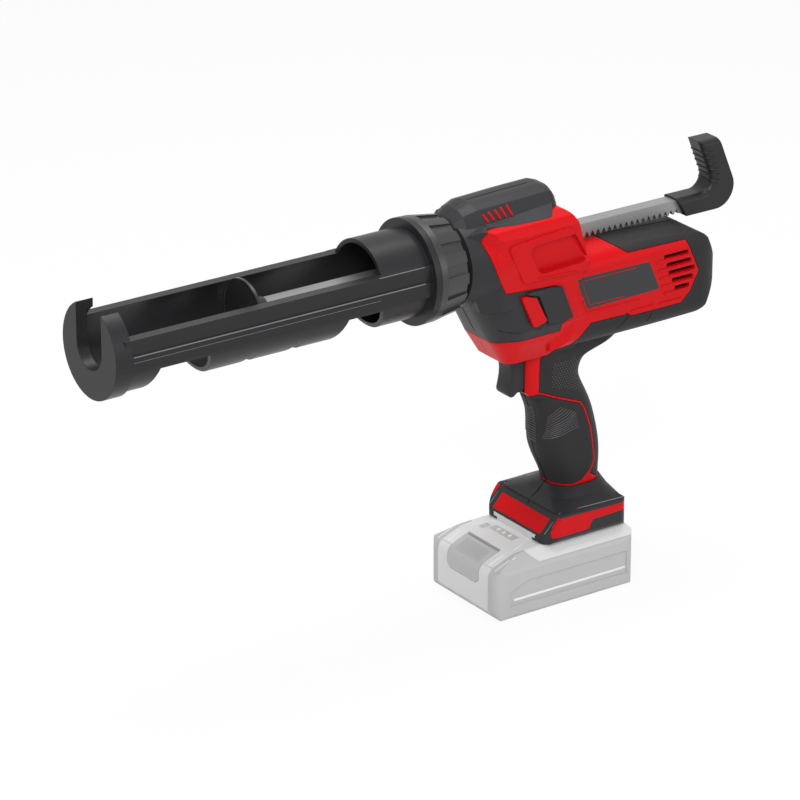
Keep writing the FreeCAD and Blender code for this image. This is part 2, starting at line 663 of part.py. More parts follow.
rod = new_body("rod_body")
pad(rod, outline_sketch(rod, "YZ_Plane", (
    ("-rod_width / 2", "-rod_height / 2"), ("rod_width / 2", "-rod_height / 2"),
    ("rod_width / 2", "rod_height / 2"), ("-rod_width / 2", "rod_height / 2"))), "rod_length")
place(rod, ROD_FRONT, "0", AXIS)
DEDENDUM = "(1.25 * gear_module)"
FLANK = math.tan(PRESSURE_ANGLE)
FIRST_GAP = f"({PINION_X} - {ROD_FRONT} - {TEETH_AHEAD} * {PITCH})"
MOUTH = f"({PITCH} / 4 + backlash / 2 + (gear_module + overrun) * {FLANK})"
ROOT = f"({PITCH} / 4 + backlash / 2 - {DEDENDUM} * {FLANK})"
RACK_TIP = "-rod_height / 2"
gap = pocket(rod, outline_sketch(rod, "XZ_Plane", (
    (f"{FIRST_GAP} - {MOUTH}", f"{RACK_TIP} - overrun"),
    (f"{FIRST_GAP} + {MOUTH}", f"{RACK_TIP} - overrun"),
    (f"{FIRST_GAP} + {ROOT}", f"{RACK_TIP} + gear_module + {DEDENDUM}"),
    (f"{FIRST_GAP} - {ROOT}", f"{RACK_TIP} + gear_module + {DEDENDUM}"))), "2 * rod_width", both_ways=True)
patterned(rod, "LinearPattern", gap, "X_Axis", TEETH_AHEAD + TEETH_BEHIND + 1,
          f"{TEETH_AHEAD + TEETH_BEHIND} * {PITCH}")
SCREW_IN_ROD = "(plunger_screw_length - plunger_plate)"
pocket(rod, circle_sketch(rod, "YZ_Plane", "plunger_screw_diameter"), SCREW_IN_ROD, backwards=True)
PIN_STATION = "(socket_depth / 2)"
pocket(rod, circle_sketch(rod, "XZ_Plane", "handle_pin_diameter", (f"rod_length - {PIN_STATION}", "0")),
       "2 * rod_width", both_ways=True)
node("rack_rod", rod)

SCREW_HEAD = "(plunger_screw_diameter * 2)"
HEAD_DEPTH = "(plunger_plate / 2)"
plunger = revolved("plunger_body", (
    ("0", "0"), ("0", "plunger_diameter / 2"), ("plunger_rim", "plunger_diameter / 2"),
    ("plunger_rim", "plunger_diameter / 2 - plunger_rim_wall"),
    ("plunger_plate", "plunger_diameter / 2 - plunger_rim_wall"), ("plunger_plate", "hub_diameter / 2"),
    ("hub_length", "hub_diameter / 2"), ("hub_length", "0")), PLUNGER_FACE)
pocket(plunger, outline_sketch(plunger, "YZ_Plane", (
    ("-rod_width / 2", "-rod_height / 2"), ("rod_width / 2", "-rod_height / 2"),
    ("rod_width / 2", "rod_height / 2"), ("-rod_width / 2", "rod_height / 2")), "plunger_plate"),
    "hub_length", backwards=True)
pocket(plunger, circle_sketch(plunger, "YZ_Plane", "plunger_screw_diameter"), "plunger_plate",
       backwards=True)
pocket(plunger, circle_sketch(plunger, "YZ_Plane", SCREW_HEAD), HEAD_DEPTH, backwards=True)
node("plunger", plunger)
node("plunger_screw", revolved("plunger_screw_body", (
    ("0", "0"), ("0", f"{SCREW_HEAD} / 2"), (HEAD_DEPTH, f"{SCREW_HEAD} / 2"),
    (HEAD_DEPTH, "plunger_screw_diameter / 2"), ("plunger_screw_length", "plunger_screw_diameter / 2"),
    ("plunger_screw_length", "0")), PLUNGER_FACE))

grip = new_body("grip_body")
LEG_LOW, LEG_HIGH = "(-rod_height / 2 - grip_wall)", "(rod_height / 2 + grip_wall)"
LEAN_AT_CROOK = f"(grip_lean * ({LEG_HIGH} - {LEG_LOW}) / (grip_rise - {LEG_LOW}))"
GRIP_CROOK = f"(grip_reach - {LEAN_AT_CROOK} - grip_thickness)"
pad(grip, outline_sketch(grip, "XZ_Plane", (
    ("0", LEG_HIGH), ("grip_slant", LEG_LOW), ("grip_reach", LEG_LOW),
    ("grip_reach - grip_lean", "grip_rise"), ("grip_reach - grip_lean - grip_thickness", "grip_rise"),
    (GRIP_CROOK, LEG_HIGH))), "grip_width", both_ways=True)
place(grip, GRIP_FRONT, "0", AXIS)


def upright_corner(body, u, v):
    """Test for the edges across the body at one corner of its outline."""
    corner = Vector(num(u), 0, num(v))

    def chosen(edge):
        ends = [vertex.Point - body.Placement.Base for vertex in edge.Vertexes]
        near = [(end - Vector(corner.x, end.y, corner.z)).Length < num("seam") for end in ends]
        return len(ends) == 2 and all(near)
    return chosen


rounded_edges(grip, "grip_bend", upright_corner(grip, "grip_reach", LEG_LOW))
rounded_edges(grip, "grip_edge * 2", upright_corner(grip, GRIP_CROOK, LEG_HIGH))


def front_upright(edge):
    """Edges along the front of the handle's upright leg and the top of its lower leg."""
    middle = edge.CenterOfMass - grip.Placement.Base
    along = abs(edge.BoundBox.YLength) < num("seam")
    inner = middle.x < num("grip_reach - grip_thickness") and middle.z > num(LEG_HIGH) - num("seam")
    return along and inner and edge.Length > num("grip_edge")


rounded_edges(grip, "grip_edge", front_upright)
pocket(grip, outline_sketch(grip, "YZ_Plane", (
    ("-rod_width / 2", "-rod_height / 2"), ("rod_width / 2", "-rod_height / 2"),
    ("rod_width / 2", "rod_height / 2"), ("-rod_width / 2", "rod_height / 2"))), "socket_depth",
    backwards=True)
PIN_START = "(-rod_width / 2 - grip_wall)"
PIN_LENGTH = f"(grip_width / 2 - {PIN_START})"
pocket(grip, circle_sketch(grip, "XZ_Plane", "handle_pin_diameter", (PIN_STATION, "0"), f"-{PIN_START}"),
       PIN_LENGTH)
node("pull_handle", grip)
node("handle_pin", cylinder("handle_pin_blank", "handle_pin_diameter", PIN_LENGTH, "y",
                            f"{GRIP_FRONT} + {PIN_STATION}", PIN_START, AXIS))

# Drive: a rack pinion and a gear pair in a frame, turned by a geared motor.


def gear_shape(teeth, width, bore, phase):
    """Spur gear about +Y with involute flanks, each an arc through three of its points."""
    module, slack = num("gear_module"), num("backlash")
    pitch_radius = module * teeth / 2
    base_radius = pitch_radius * math.cos(PRESSURE_ANGLE)
    tip_radius, root_radius = pitch_radius + module, pitch_radius - num(DEDENDUM)
    half_tooth = math.pi / (2 * teeth) - slack / (2 * pitch_radius)
    start_radius = max(base_radius, root_radius)

    def spread_angle(radius):
        roll = math.acos(min(base_radius / radius, 1))
        return math.tan(roll) - roll

    def point(radius, angle):
        return Vector(radius * math.sin(angle), 0, radius * math.cos(angle))

    edges = []
    for tooth in range(teeth):
        middle = phase + 2 * math.pi * tooth / teeth
        flanks = []
        for radius in (start_radius, (start_radius + tip_radius) / 2, tip_radius):
            flanks.append((radius, half_tooth + spread_angle(pitch_radius) - spread_angle(radius)))
        rising = [point(radius, middle - angle) for radius, angle in flanks]
        falling = [point(radius, middle + angle) for radius, angle in reversed(flanks)]
        foot, next_foot = middle - flanks[0][1], middle + flanks[0][1]
        following = middle + 2 * math.pi / teeth - flanks[0][1]
        edges.append(Part.makeLine(point(root_radius, foot), rising[0]))
        edges.append(Part.Arc(*rising).toShape())
        edges.append(Part.makeLine(rising[-1], falling[0]))
        edges.append(Part.Arc(*falling).toShape())
        edges.append(Part.makeLine(falling[-1], point(root_radius, next_foot)))
        edges.append(Part.makeLine(point(root_radius, next_foot), point(root_radius, following)))
    blank = Part.Face(Part.Wire(edges)).extrude(Vector(0, width, 0))
    return blank.cut(drum(bore, Vector(), Vector(0, width, 0)))


def gear(label, teeth, low, width, z, phase=0.0):
    shape = gear_shape(teeth, num(width), num("shaft_diameter"), phase)
    return node(label, feature(f"{label}_teeth", shape, PINION_X, low, z))


gear("rack_pinion", PINION_TEETH, "-pinion_width / 2", "pinion_width", PINION_Z)
gear("driven_gear", DRIVEN_TEETH, GEAR_LEFT, "gear_width", PINION_Z, math.pi / DRIVEN_TEETH)
gear("drive_gear", DRIVE_TEETH, GEAR_LEFT, "gear_width", DRIVE_Z)

BUSH_BORE = "shaft_diameter + 2 * shaft_clearance"
node("pinion_shaft", cylinder("pinion_shaft_blank", "shaft_diameter", f"2 * {FRAME_SIDE}", "y",
                              PINION_X, f"-{FRAME_SIDE}", PINION_Z))
HEAD_LEFT = "(-frame_inner_width / 2)"
HEAD_RIGHT = f"({GEAR_LEFT} - gear_side_gap)"
node("drive_shaft", cylinder("drive_shaft_blank", "shaft_diameter", f"{FRAME_SIDE} - {HEAD_LEFT} / 2", "y",
                             PINION_X, f"{HEAD_LEFT} / 2", DRIVE_Z))


def bush(name, y, z):
    body = cylinder(f"{name}_blank", "bush_diameter", "frame_plate", "y", PINION_X, y, z)
    hole = cylinder(f"{name}_hole", BUSH_BORE, "frame_plate + 2 * overrun", "y", PINION_X,
                    f"{y} - overrun", z)
    return cut(name, body, hole)


RIGHT_PLATE = "(frame_inner_width / 2)"
node("shaft_bushes", group("bushes", bush("bush_left", f"(-{FRAME_SIDE})", PINION_Z),
                           bush("bush_right", RIGHT_PLATE, PINION_Z),
                           bush("bush_drive", RIGHT_PLATE, DRIVE_Z)))


def bush_seat(name, y, z):
    return cylinder(name, "bush_diameter", "frame_plate + 2 * overrun", "y", PINION_X, f"{y} - overrun", z)


POST_X = "(board_length / 2 - board_post_edge)"
POST_Y = "(board_width / 2 - board_post)"
posts = [cylinder(f"board_post_{index}", "board_post_diameter", "board_post", "z",
                  f"{PINION_X} {along} {POST_X}", f"{across}{POST_Y}", FRAME_TOP)
         for index, (along, across) in enumerate((("-", "-"), ("-", ""), ("+", "-"), ("+", "")))]
frame_tube = cut("frame_tube", block("frame_block", (FRAME_FRONT, f"-{FRAME_SIDE}", FRAME_BOTTOM),
                                     (FRAME_REAR, FRAME_SIDE, FRAME_TOP)),
                 block("frame_inside", (f"{FRAME_FRONT} - overrun", HEAD_LEFT, FRAME_FLOOR),
                       (f"{FRAME_REAR} + overrun", RIGHT_PLATE, FRAME_CEILING)),
                 bush_seat("seat_left", f"(-{FRAME_SIDE})", PINION_Z),
                 bush_seat("seat_right", RIGHT_PLATE, PINION_Z),
                 bush_seat("seat_drive", RIGHT_PLATE, DRIVE_Z))
node("drive_frame", fuse("frame", frame_tube, *posts))

BOARD_LOW = f"({FRAME_TOP} + board_post)"
BOARD_HIGH = f"({BOARD_LOW} + board_thickness)"
CAPACITOR = "(board_thickness * 5)"
board = block("board", (f"{PINION_X} - board_length / 2", "-board_width / 2", BOARD_LOW),
              (f"{PINION_X} + board_length / 2", "board_width / 2", BOARD_HIGH))
parts_on_board = [cylinder(f"capacitor_{side}", CAPACITOR, CAPACITOR, "z", f"{PINION_X} - board_length / 4",
                           f"{sign}board_width / 4", BOARD_HIGH)
              for side, sign in (("left", "-"), ("right", ""))]
parts_on_board.append(block("heat_sink", (f"{PINION_X} + board_length / 8", "-board_width / 3", BOARD_HIGH),
                            (f"{PINION_X} + board_length / 3", "board_width / 3",
                             f"{BOARD_HIGH} + {CAPACITOR} / 2")))
node("control_board", fuse("board_with_parts", board, *parts_on_board))

SLIDE_LOW = f"({AXIS} + rod_height / 2 + running_gap)"
node("rod_slide_pad", block("slide_pad", (f"{PINION_X} - slide_pad_length / 2", "-rod_width / 2",
                                          SLIDE_LOW),
                            (f"{PINION_X} + slide_pad_length / 2", "rod_width / 2", FRAME_CEILING)))
GUIDE_START = f"({FRAME_REAR} - rear_guide_length)"
node("rear_rod_guide", cut("rear_guide", block(
    "rear_guide_blank", (GUIDE_START, HEAD_LEFT, f"{AXIS} - rod_height / 2 - gear_side_gap"),
    (FRAME_REAR, f"{GEAR_LEFT} - gear_side_gap / 2", FRAME_CEILING)),
    rod_passage("rear_guide_hole", GUIDE_START, FRAME_REAR)))

HEAD_LOW, HEAD_HIGH = f"({DRIVE_Z} - gear_head_height / 2)", f"({DRIVE_Z} + gear_head_height / 2)"
gear_unit = fuse("gear_unit_blank", block(
    "gear_head", (f"{PINION_X} - gear_head_height / 2", HEAD_LEFT, HEAD_LOW),
    (f"{FRAME_REAR} + overrun", HEAD_RIGHT, HEAD_HIGH)),
    cylinder("gear_drum", "gear_drum_diameter", "gear_drum_length", "x", FRAME_REAR, "0", DRIVE_Z))
ROTOR_BORE = "rotor_shaft_diameter + 2 * shaft_clearance"
ROTOR_IN_DRUM = "(gear_drum_length / 3)"
ROTOR_START = f"({MOTOR_FRONT} - {ROTOR_IN_DRUM})"
node("gear_unit", cut("gear_unit_bored", gear_unit, cylinder(
    "drive_bore", BUSH_BORE, f"{HEAD_RIGHT} - {HEAD_LEFT} / 2 + 2 * overrun", "y", PINION_X,
    f"{HEAD_LEFT} / 2 - running_gap", DRIVE_Z), cylinder(
    "rotor_bore", ROTOR_BORE, f"{ROTOR_IN_DRUM} + running_gap + overrun", "x",
    f"{ROTOR_START} - running_gap", "0", DRIVE_Z)))
CAN_STEP = "(motor_diameter / 12)"
node("motor_can", revolved("motor_can_body", (
    ("0", f"({ROTOR_BORE}) / 2"), ("0", f"motor_diameter / 2 - {CAN_STEP}"),
    (CAN_STEP, "motor_diameter / 2"),
    ("motor_length", "motor_diameter / 2"), ("motor_length", f"({ROTOR_BORE}) / 2")), MOTOR_FRONT,
    z=DRIVE_Z))
node("motor_end_cap", revolved("end_cap_body", (
    ("0", f"({ROTOR_BORE}) / 2"), ("0", "end_cap_diameter / 2"),
    ("end_cap_length / 2", "end_cap_diameter / 2"),
    ("end_cap_length", "end_cap_diameter / 3"), ("end_cap_length", f"({ROTOR_BORE}) / 2")), MOTOR_REAR,
    z=DRIVE_Z))
FAN_AT = f"({FAN_FRONT} - {ROTOR_START})"
rotor = revolved("rotor_body", (
    ("0", "0"), ("0", "rotor_shaft_diameter / 2"), (FAN_AT, "rotor_shaft_diameter / 2"),
    (FAN_AT, "fan_diameter / 2"), (f"{FAN_AT} + fan_plate", "fan_diameter / 2"),
    (f"{FAN_AT} + fan_plate", "rotor_shaft_diameter"), (f"{FAN_AT} + fan_length", "rotor_shaft_diameter"),
    (f"{FAN_AT} + fan_length", "0")), ROTOR_START, z=DRIVE_Z)
blade = pad(rotor, outline_sketch(rotor, "YZ_Plane", (
    ("-fan_plate / 2", "rotor_shaft_diameter / 2"), ("fan_plate / 2", "rotor_shaft_diameter / 2"),
    ("fan_plate / 2", "fan_diameter / 2 - fan_plate"), ("-fan_plate / 2", "fan_diameter / 2 - fan_plate")),
    f"{FAN_AT} + fan_plate / 2"), "fan_length - fan_plate / 2")
patterned(rotor, "PolarPattern", blade, "X_Axis", FAN_BLADES, 360)
node("motor_rotor", rotor)

# Housing: the blocks that its mouldings are cut from.

GEAR_CASE_SIDE_SHARES = ((0, 0.82), (0.2, 0.877, 2), (0.87, 0.877, 1), (0.915, 0.82, 0.8), (1, 0.574, 0.8),
                         (0.97, 0.53, 0.5), (0.9, 0.387), (0.146, 0.387))
GEAR_CASE_SECTION_SHARES = ((0, 0.302), (0, 0.804, 1), (0.045, 0.855, 1), (0.182, 0.877), (0.818, 0.877),
                            (0.955, 0.855, 1), (1, 0.804, 1), (1, 0.302))
GEAR_CASE_PLAN_SHARES = ((0, 0.25), (0.27, 0, 1), (1, 0, 0.2), (1, 1, 0.2), (0.27, 1, 1), (0, 0.75))
# Hood: station along the gear case, top and half width at that station, and its arch.
HOOD_SHARES = ((0, 0.69, 0.65), (0.03, 0.77, 0.75), (0.094, 0.88, 0.875), (0.19, 0.952, 1),
               (0.5, 0.981, 1.025),
               (0.78, 1, 1), (0.83, 0.964, 0.95), (0.86, 0.86, 0.875))
HOOD_ARCH_SHARES = ((0, 0), (0, 0.56), (0.15, 0.895), (0.31, 0.99, 1), (0.69, 0.99, 1), (0.85, 0.895),
                    (1, 0.56),
                    (1, 0))
# Lower gear case: level, front, rear and half width at that level, and the rounding of its bow.
CHIN_SHARES = ((0.55, 0.115, 0.9, 1, 0.75), (0.387, 0.156, 0.9, 1.028, 0.75),
               (0.226, 0.26, 0.98, 0.985, 0.72), (0.132, 0.323, 1, 0.86, 0.6),
               (0, 0.422, 1, 0.594, 0.4))
MOTOR_CASE_SIDE_SHARES = ((0, 1), (0.38, 1), (0.88, 0.94, 0.8), (1, 0.49, 0.5), (0.873, 0.06, 0.8),
                          (0.324, 0),
                          (0, 0))
MOTOR_CASE_PLAN_SHARES = ((0, 0.09), (0.1, 0), (1, 0, 1), (1, 1, 1), (0.1, 1), (0, 0.91))
ROUND_BOX_SHARES = ((0, 0, 1), (1, 0, 1), (1, 1, 1), (0, 1, 1))
COLUMN_SIDE_SHARES = ((0, 0, 1), (1, 0), (1, 1), (0, 1))
FOOT_SIDE_SHARES = ((0.028, 0), (0, 0.14, 0.5), (0.21, 0.86, 0.5), (0.32, 1, 1), (0.93, 1, 1),
                    (0.985, 0.86, 0.3),
                    (1, 0.45, 0.6), (0.972, 0))
FOOT_PLAN_SHARES = ((0, 0, 2.3), (1, 0, 1.2), (1, 1, 1.2), (0, 1, 2.3))
FOOT_SECTION_SHARES = ((0.034, 0), (0, 0.127, 0.4), (0, 0.86, 0.3), (0.15, 1, 1), (0.85, 1, 1),
                       (1, 0.86, 0.3),
                       (1, 0.127, 0.4), (0.966, 0))
# Crown of the foot: level, front, rear and half width, from the foot's shoulder to the handle.
CROWN_SHARES = ((-0.42, 0.19, 0.985, 0.97), (0.3, 0.3, 0.968, 0.68), (1, 0.37, 0.965, 0.5))
# Handle: level below its top, front, rear and half width at that level.
HANDLE_SHARES = (
    (0, -0.5, 1.727, 1.105), (0.06, -0.455, 1.545, 1.105), (0.105, -0.409, 1.273, 1.105),
    (0.143, -0.364, 0.93, 1.079), (0.173, -0.33, 0.736, 1.053), (0.218, -0.307, 0.65, 1.026),
    (0.263, -0.295, 0.63, 1), (0.345, -0.273, 0.72, 1), (0.45, -0.159, 0.87, 1), (0.548, -0.12, 0.96, 1),
    (0.638, -0.1, 1.02, 1), (0.758, 0.04, 1.05, 0.974), (0.915, 0.17, 1.055, 0.947), (1, 0.25, 1.06, 0.947))
HANDLE_ROUND_SHARE = 0.9

# Reference boxes of the share tables: left, width, base, height.
GEAR_BOX = (NOSE_FRONT, "gear_case_length", "axis_height - gear_case_drop", "gear_case_drop + hood_rise")
MOTOR_BOX = ("-motor_case_front", "motor_case_length", "axis_height - motor_case_drop - motor_case_height",
             "motor_case_height")
HANDLE_BOX = ("-handle_front", "handle_depth", FOOT_SHOULDER,
              f"axis_height - column_drop - {FOOT_SHOULDER}")
FOOT_BOX = ("-foot_front", "foot_length", FOOT_BOTTOM, "foot_height")
COLUMN_BOX = ("-column_front", "handle_depth - wall", "axis_height - column_drop",
              "column_drop - handle_top_drop")


def laid_out(shares, box, radius="0"):
    return spread(shares, *(num(text) for text in box), num(radius))


def across(width):
    """Width of a plan or section outline, centred on the parting plane."""
    return (f"-{width} / 2", width)


def bow(level, front, rear, half, rounding):
    """Level outline with rounded front corners."""
    return outline_face([(front, -half, rounding), (rear, -half, 0), (rear, half, 0),
                         (front, half, rounding)],
                        "XY", level).OuterWire


def hood(inset):
    left, length = num(NOSE_FRONT), num("gear_case_length")
    root, half_width = num("axis_height + hood_root"), num("hood_width / 2")
    wires = []
    for station, top, half in HOOD_SHARES:
        inward = inset if station < HOOD_SHARES[-1][0] / 2 else -inset
        half, top = half * half_width - inset, num("axis_height") + top * num("hood_rise") - inset
        points = spread(HOOD_ARCH_SHARES, -half, 2 * half, root, top - root, half)
        wires.append(outline_face(points, "YZ", left + station * length + inward).OuterWire)
    return Part.makeLoft(wires, True, True)


def gear_case(inset):
    return carved(laid_out(GEAR_CASE_SIDE_SHARES, GEAR_BOX, "case_edge"),
                  laid_out(GEAR_CASE_PLAN_SHARES, GEAR_BOX[:2] + across("gear_case_width"), "case_corner"),
                  laid_out(GEAR_CASE_SECTION_SHARES, across("gear_case_width") + GEAR_BOX[2:],
                           "case_edge"), inset)


def chin(inset):
    left, length, base, height = (num(text) for text in GEAR_BOX)
    wires = []
    for level, front, rear, half, rounding in CHIN_SHARES:
        half = half * num("chin_width / 2")
        raised = inset if level == 0 else 0
        wires.append(bow(base + level * height + raised, left + front * length + inset,
                         left + rear * length - inset,
                         half - inset, half * rounding - inset))
    return Part.makeLoft(wires, True, True)


def motor_case(inset):
    return carved(laid_out(MOTOR_CASE_SIDE_SHARES, MOTOR_BOX, "motor_case_edge"),
                  laid_out(MOTOR_CASE_PLAN_SHARES, MOTOR_BOX[:2] + across("motor_case_width"),
                           "motor_case_corner"),
                  laid_out(ROUND_BOX_SHARES, across("motor_case_width") + MOTOR_BOX[2:],
                           "motor_case_edge"), inset)


def column(inset):
    return carved(laid_out(COLUMN_SIDE_SHARES, COLUMN_BOX, "column_corner"),
                  laid_out(ROUND_BOX_SHARES, COLUMN_BOX[:2] + across("column_width"), "column_corner"),
                  laid_out(COLUMN_SIDE_SHARES, across("column_width") + COLUMN_BOX[2:]), inset)


def handle(inset):
    top, bottom = num("axis_height - handle_top_drop"), num(f"{FOOT_SHOULDER} - foot_height / 2")
    depth, half_width = num("handle_depth"), num("handle_width / 2")
    wires = []
    for level, front, rear, half in HANDLE_SHARES:
        half = half * half_width
        low, high = (front * depth + inset, inset - half), (rear * depth - inset, half - inset)
        corners = [(low[0], low[1]), (high[0], low[1]), (high[0], high[1]), (low[0], high[1])]
        rounding = half * HANDLE_ROUND_SHARE - inset
        face = outline_face([(u, v, rounding) for u, v in corners], "XY", top + level * (bottom - top))
        wires.append(face.OuterWire)
    return Part.makeLoft(wires, True, False)


def crown(inset):
    left, length, half_width = num("-foot_front"), num("foot_length"), num("foot_width / 2")
    wires = []
    for level, front, rear, half in CROWN_SHARES:
        half = half * half_width
        corners = [(left + front * length + inset, inset - half),
                   (left + rear * length - inset, inset - half),
                   (left + rear * length - inset, half - inset),
                   (left + front * length + inset, half - inset)]
        rounding = num("foot_corner") * (2 + level) - inset
        wires.append(outline_face([(u, v, rounding) for u, v in corners], "XY",
                                  num(f"{FOOT_SHOULDER} + {level} * foot_crown") - inset).OuterWire)
    return Part.makeLoft(wires, True, True)


def foot(inset):
    return carved(laid_out(FOOT_SIDE_SHARES, FOOT_BOX, "foot_corner"),
                  laid_out(FOOT_PLAN_SHARES, FOOT_BOX[:2] + across("foot_width"), "foot_corner"),
                  laid_out(FOOT_SECTION_SHARES, across("foot_width") + FOOT_BOX[2:], "foot_corner"), inset)


def form(inset):
    """The whole housing as one block, drawn inward by the inset."""
    front, flare = Vector(num(NOSE_FRONT) + inset, 0, num(AXIS)), num("neck_flare")
    neck, widest = num("neck_diameter / 2") - inset, num("neck_flare_diameter / 2") - inset
    nose = Part.makeCone(neck, widest, flare, front, Vector(1, 0, 0)).fuse(
        [Part.makeCylinder(widest, flare, front + Vector(flare, 0, 0), Vector(1, 0, 0))])
    return nose.fuse([gear_case(inset), hood(inset), chin(inset), motor_case(inset), column(inset),
                      handle(inset),
                      foot(inset), crown(inset)])


NOSE_ZONE_SHARES = ((-0.1, 1.07), (0.917, 1.07), (0.917, 0.885), (0.188, 0.868, 1), (0.14, 0.813, 1),
                    (0.223, 0.622), (0.302, 0.489), (0.438, 0.481), (0.729, 0.464), (0.766, 0.43),
                    (0.861, 0.251),
                    (0.798, 0.221), (0.792, 0.174), (0.375, 0.17), (0.25, 0.132), (-0.1, 0.132))
WINDOW_ZONE_SHARES = ((-0.35, 1.72), (0.275, 1.154), (0.43, 0.918), (0.768, 0.908), (0.845, 0.541),
                      (0.796, 0.334), (0.739, 0.223), (0.444, 0.223), (0.422, 0.262), (0.204, 0.268),
                      (0.113, 0.077), (-0.14, 0), (-0.35, -0.12))
BUMPER_ZONE_SHARES = ((0.335, -0.308), (1.127, -0.308), (1.127, 1.185), (0.211, 1.185), (0.211, 0.723),
                      (0.423, 0.254), (0.335, -0.023))
SPINE_ZONE_SHARES = ((0.693, 1.537), (0.989, 1.694), (1.682, 1.688), (1.398, 1.452), (1.398, 1.209),
                     (1.955, 1.209), (1.955, 0.111), (1.44, 0.111), (1.27, 0.172), (1.368, 0.266),
                     (1.366, 0.336),
                     (1.283, 0.616), (1.155, 0.815), (1.066, 0.893), (0.305, 1.069), (0.318, 1.4))
PALM_ZONE_SHARES = ((-0.136, 1), (0.284, 1.045), (1.037, 0.872), (1.113, 0.803), (1.238, 0.61),
                    (1.32, 0.333),
                    (1.322, 0.273), (1.236, 0.19), (1.1, 0.13), (0.95, 0.111), (-0.136, 0.111))
STRIPE_ZONE_SHARES = ((0.09, 0.39), (0.155, 0.782), (0.19, 0.813), (1.1, 0.755), (1.1, 0.53),
                      (0.574, 0.495),
                      (0.522, 0.205), (0.157, 0.2), (0.104, 0.21))
PLATE_ZONE_SHARES = ((0.113, 0.789), (0.546, 0.771), (0.611, 0.446), (0.187, 0.428))
VENT_SHARES = ((0.634, 0.778, 0.777), (0.648, 0.796, 0.682), (0.662, 0.817, 0.591), (0.683, 0.808, 0.5),
               (0.702, 0.787, 0.408))
PANEL_ZONE_SHARES = ((0.323, 0.75, 1), (0.365, 0.769, 1), (0.85, 0.795, 1), (1.008, 0.574, 1),
                     (0.979, 0.523),
                     (0.447, 0.527, 1))
POCKET_ZONE_SHARES = ((0.469, 0.74, 1), (0.882, 0.752), (1.008, 0.574), (0.583, 0.561, 1))
BUTTON_ZONE_SHARES = ((0.417, 0.453, 0.3), (0.466, 0.451, 0.3), (0.544, 0.43, 0.3), (0.641, 0.275, 0.3),
                      (0.54, 0.254, 0.3), (0.525, 0.266, 0.3))
# Screw bosses: along and up each reference box.
NOSE_SCREW_SHARES = ((0.323, 0.336), (0.76, 0.906), (0.198, 0.881))
BODY_SCREW_SHARES = ((0.901, 0.492), (0.169, 0.046))
GRIP_SCREW_SHARES = ((1.05, 0.646),)
FOOT_SCREW_SHARES = ((0.376, 0.605), (0.915, 0.515))

REACH = num("gear_case_width")


def zone(shares, box, radius="0", grow="0", low=-REACH, high=REACH):
    """Side-view region as a prism across the tool."""
    return prism(inset_outline(laid_out(shares, box, radius), -num(grow)), "XZ", low, high)


outer, skin, inner = form(0), form(num("soft_skin")), form(num("wall"))
shell, layer = outer.cut(inner), outer.cut(skin)
far = num("cradle_reach")
foot_side = slab((-far, -REACH, 0), (far, REACH, num(FOOT_TOP)))


def screw_spots(shares, box):
    return [Vector(u, 0, v) for u, v, radius in laid_out(shares, box)]


NOSE_SPOTS = screw_spots(NOSE_SCREW_SHARES, GEAR_BOX)
BODY_SPOTS = screw_spots(BODY_SCREW_SHARES, MOTOR_BOX) + screw_spots(GRIP_SCREW_SHARES, HANDLE_BOX)
FOOT_SPOTS = screw_spots(FOOT_SCREW_SHARES, FOOT_BOX)


def across_drum(diameter, spot, low, high):
    return drum(diameter, spot + Vector(0, low, 0), Vector(0, high - low, 0))


def bosses(spots):
    return [across_drum(num("boss_diameter"), spot, -REACH, REACH).common(inner) for spot in spots]


def screw_holes(spots):
    """Threaded end, shank and head recess of each screw, which enters from the right."""
    seat, grip = num("screw_seat"), num("screw_grip")
    head = num("screw_head_diameter + 2 * running_gap")
    tools = []
    for spot in spots:
        tools.append(across_drum(num("screw_diameter"), spot, -grip, seat))
        tools.append(across_drum(head, spot, seat, REACH))
    return tools


def halves(label, shape):
    """Left and right moulding of a shape, with an open parting line."""
    gap = num("parting / 2")
    low = shape.common(slab((-far, -REACH, 0), (far, -gap, far)))
    high = shape.common(slab((-far, gap, 0), (far, REACH, far)))
    for side, half in (("left", low), ("right", high)):
        node(f"{label}_{side}", feature(f"{label}_{side}_moulding", half))


# Nose cover: the dark front moulding, which clamps the threaded ring.

def boxed(low, high):
    """Box shape between two corners given as expressions."""
    return slab([num(text) for text in low], [num(text) for text in high])


ring_hole = drum(num(f"2 * {TAIL_RADIUS}"), Vector(num(NOSE_FRONT) - num("overrun"), 0, num(AXIS)),
                 Vector(num("wall + 2 * overrun"), 0, 0))
nose = shell.common(zone(NOSE_ZONE_SHARES, GEAR_BOX, "case_edge")).fuse(bosses(NOSE_SPOTS))
button_hole = zone(BUTTON_ZONE_SHARES, GEAR_BOX, "case_edge", "running_gap", high=0)
halves("nose_cover", nose.cut([ring_hole, button_hole] + screw_holes(NOSE_SPOTS)))

# Body shells: red, with the soft layer let into them and ribs that hold the drive.

RIB_FRONT = f"{GUIDE_START} - 2 * rib"
frame_hole = boxed((f"{FRAME_FRONT} - overrun", f"-{FRAME_SIDE}", FRAME_BOTTOM),
                   (f"{FRAME_REAR} + overrun", FRAME_SIDE, f"{FRAME_TOP} + overrun"))
motor_hole = drum(num("motor_diameter"), Vector(num(MOTOR_FRONT), 0, num(DRIVE_Z)),
                  Vector(num("motor_length"), 0, 0))
RIB_SHARES = (0.15, 0.82)


def upright_rib(start):
    base, top = num(f"{TRIGGER_TOP} + 2 * wall"), num(FRAME_TOP)
    return inner.common(slab((start, -REACH, base), (start + num("rib"), REACH, top)))


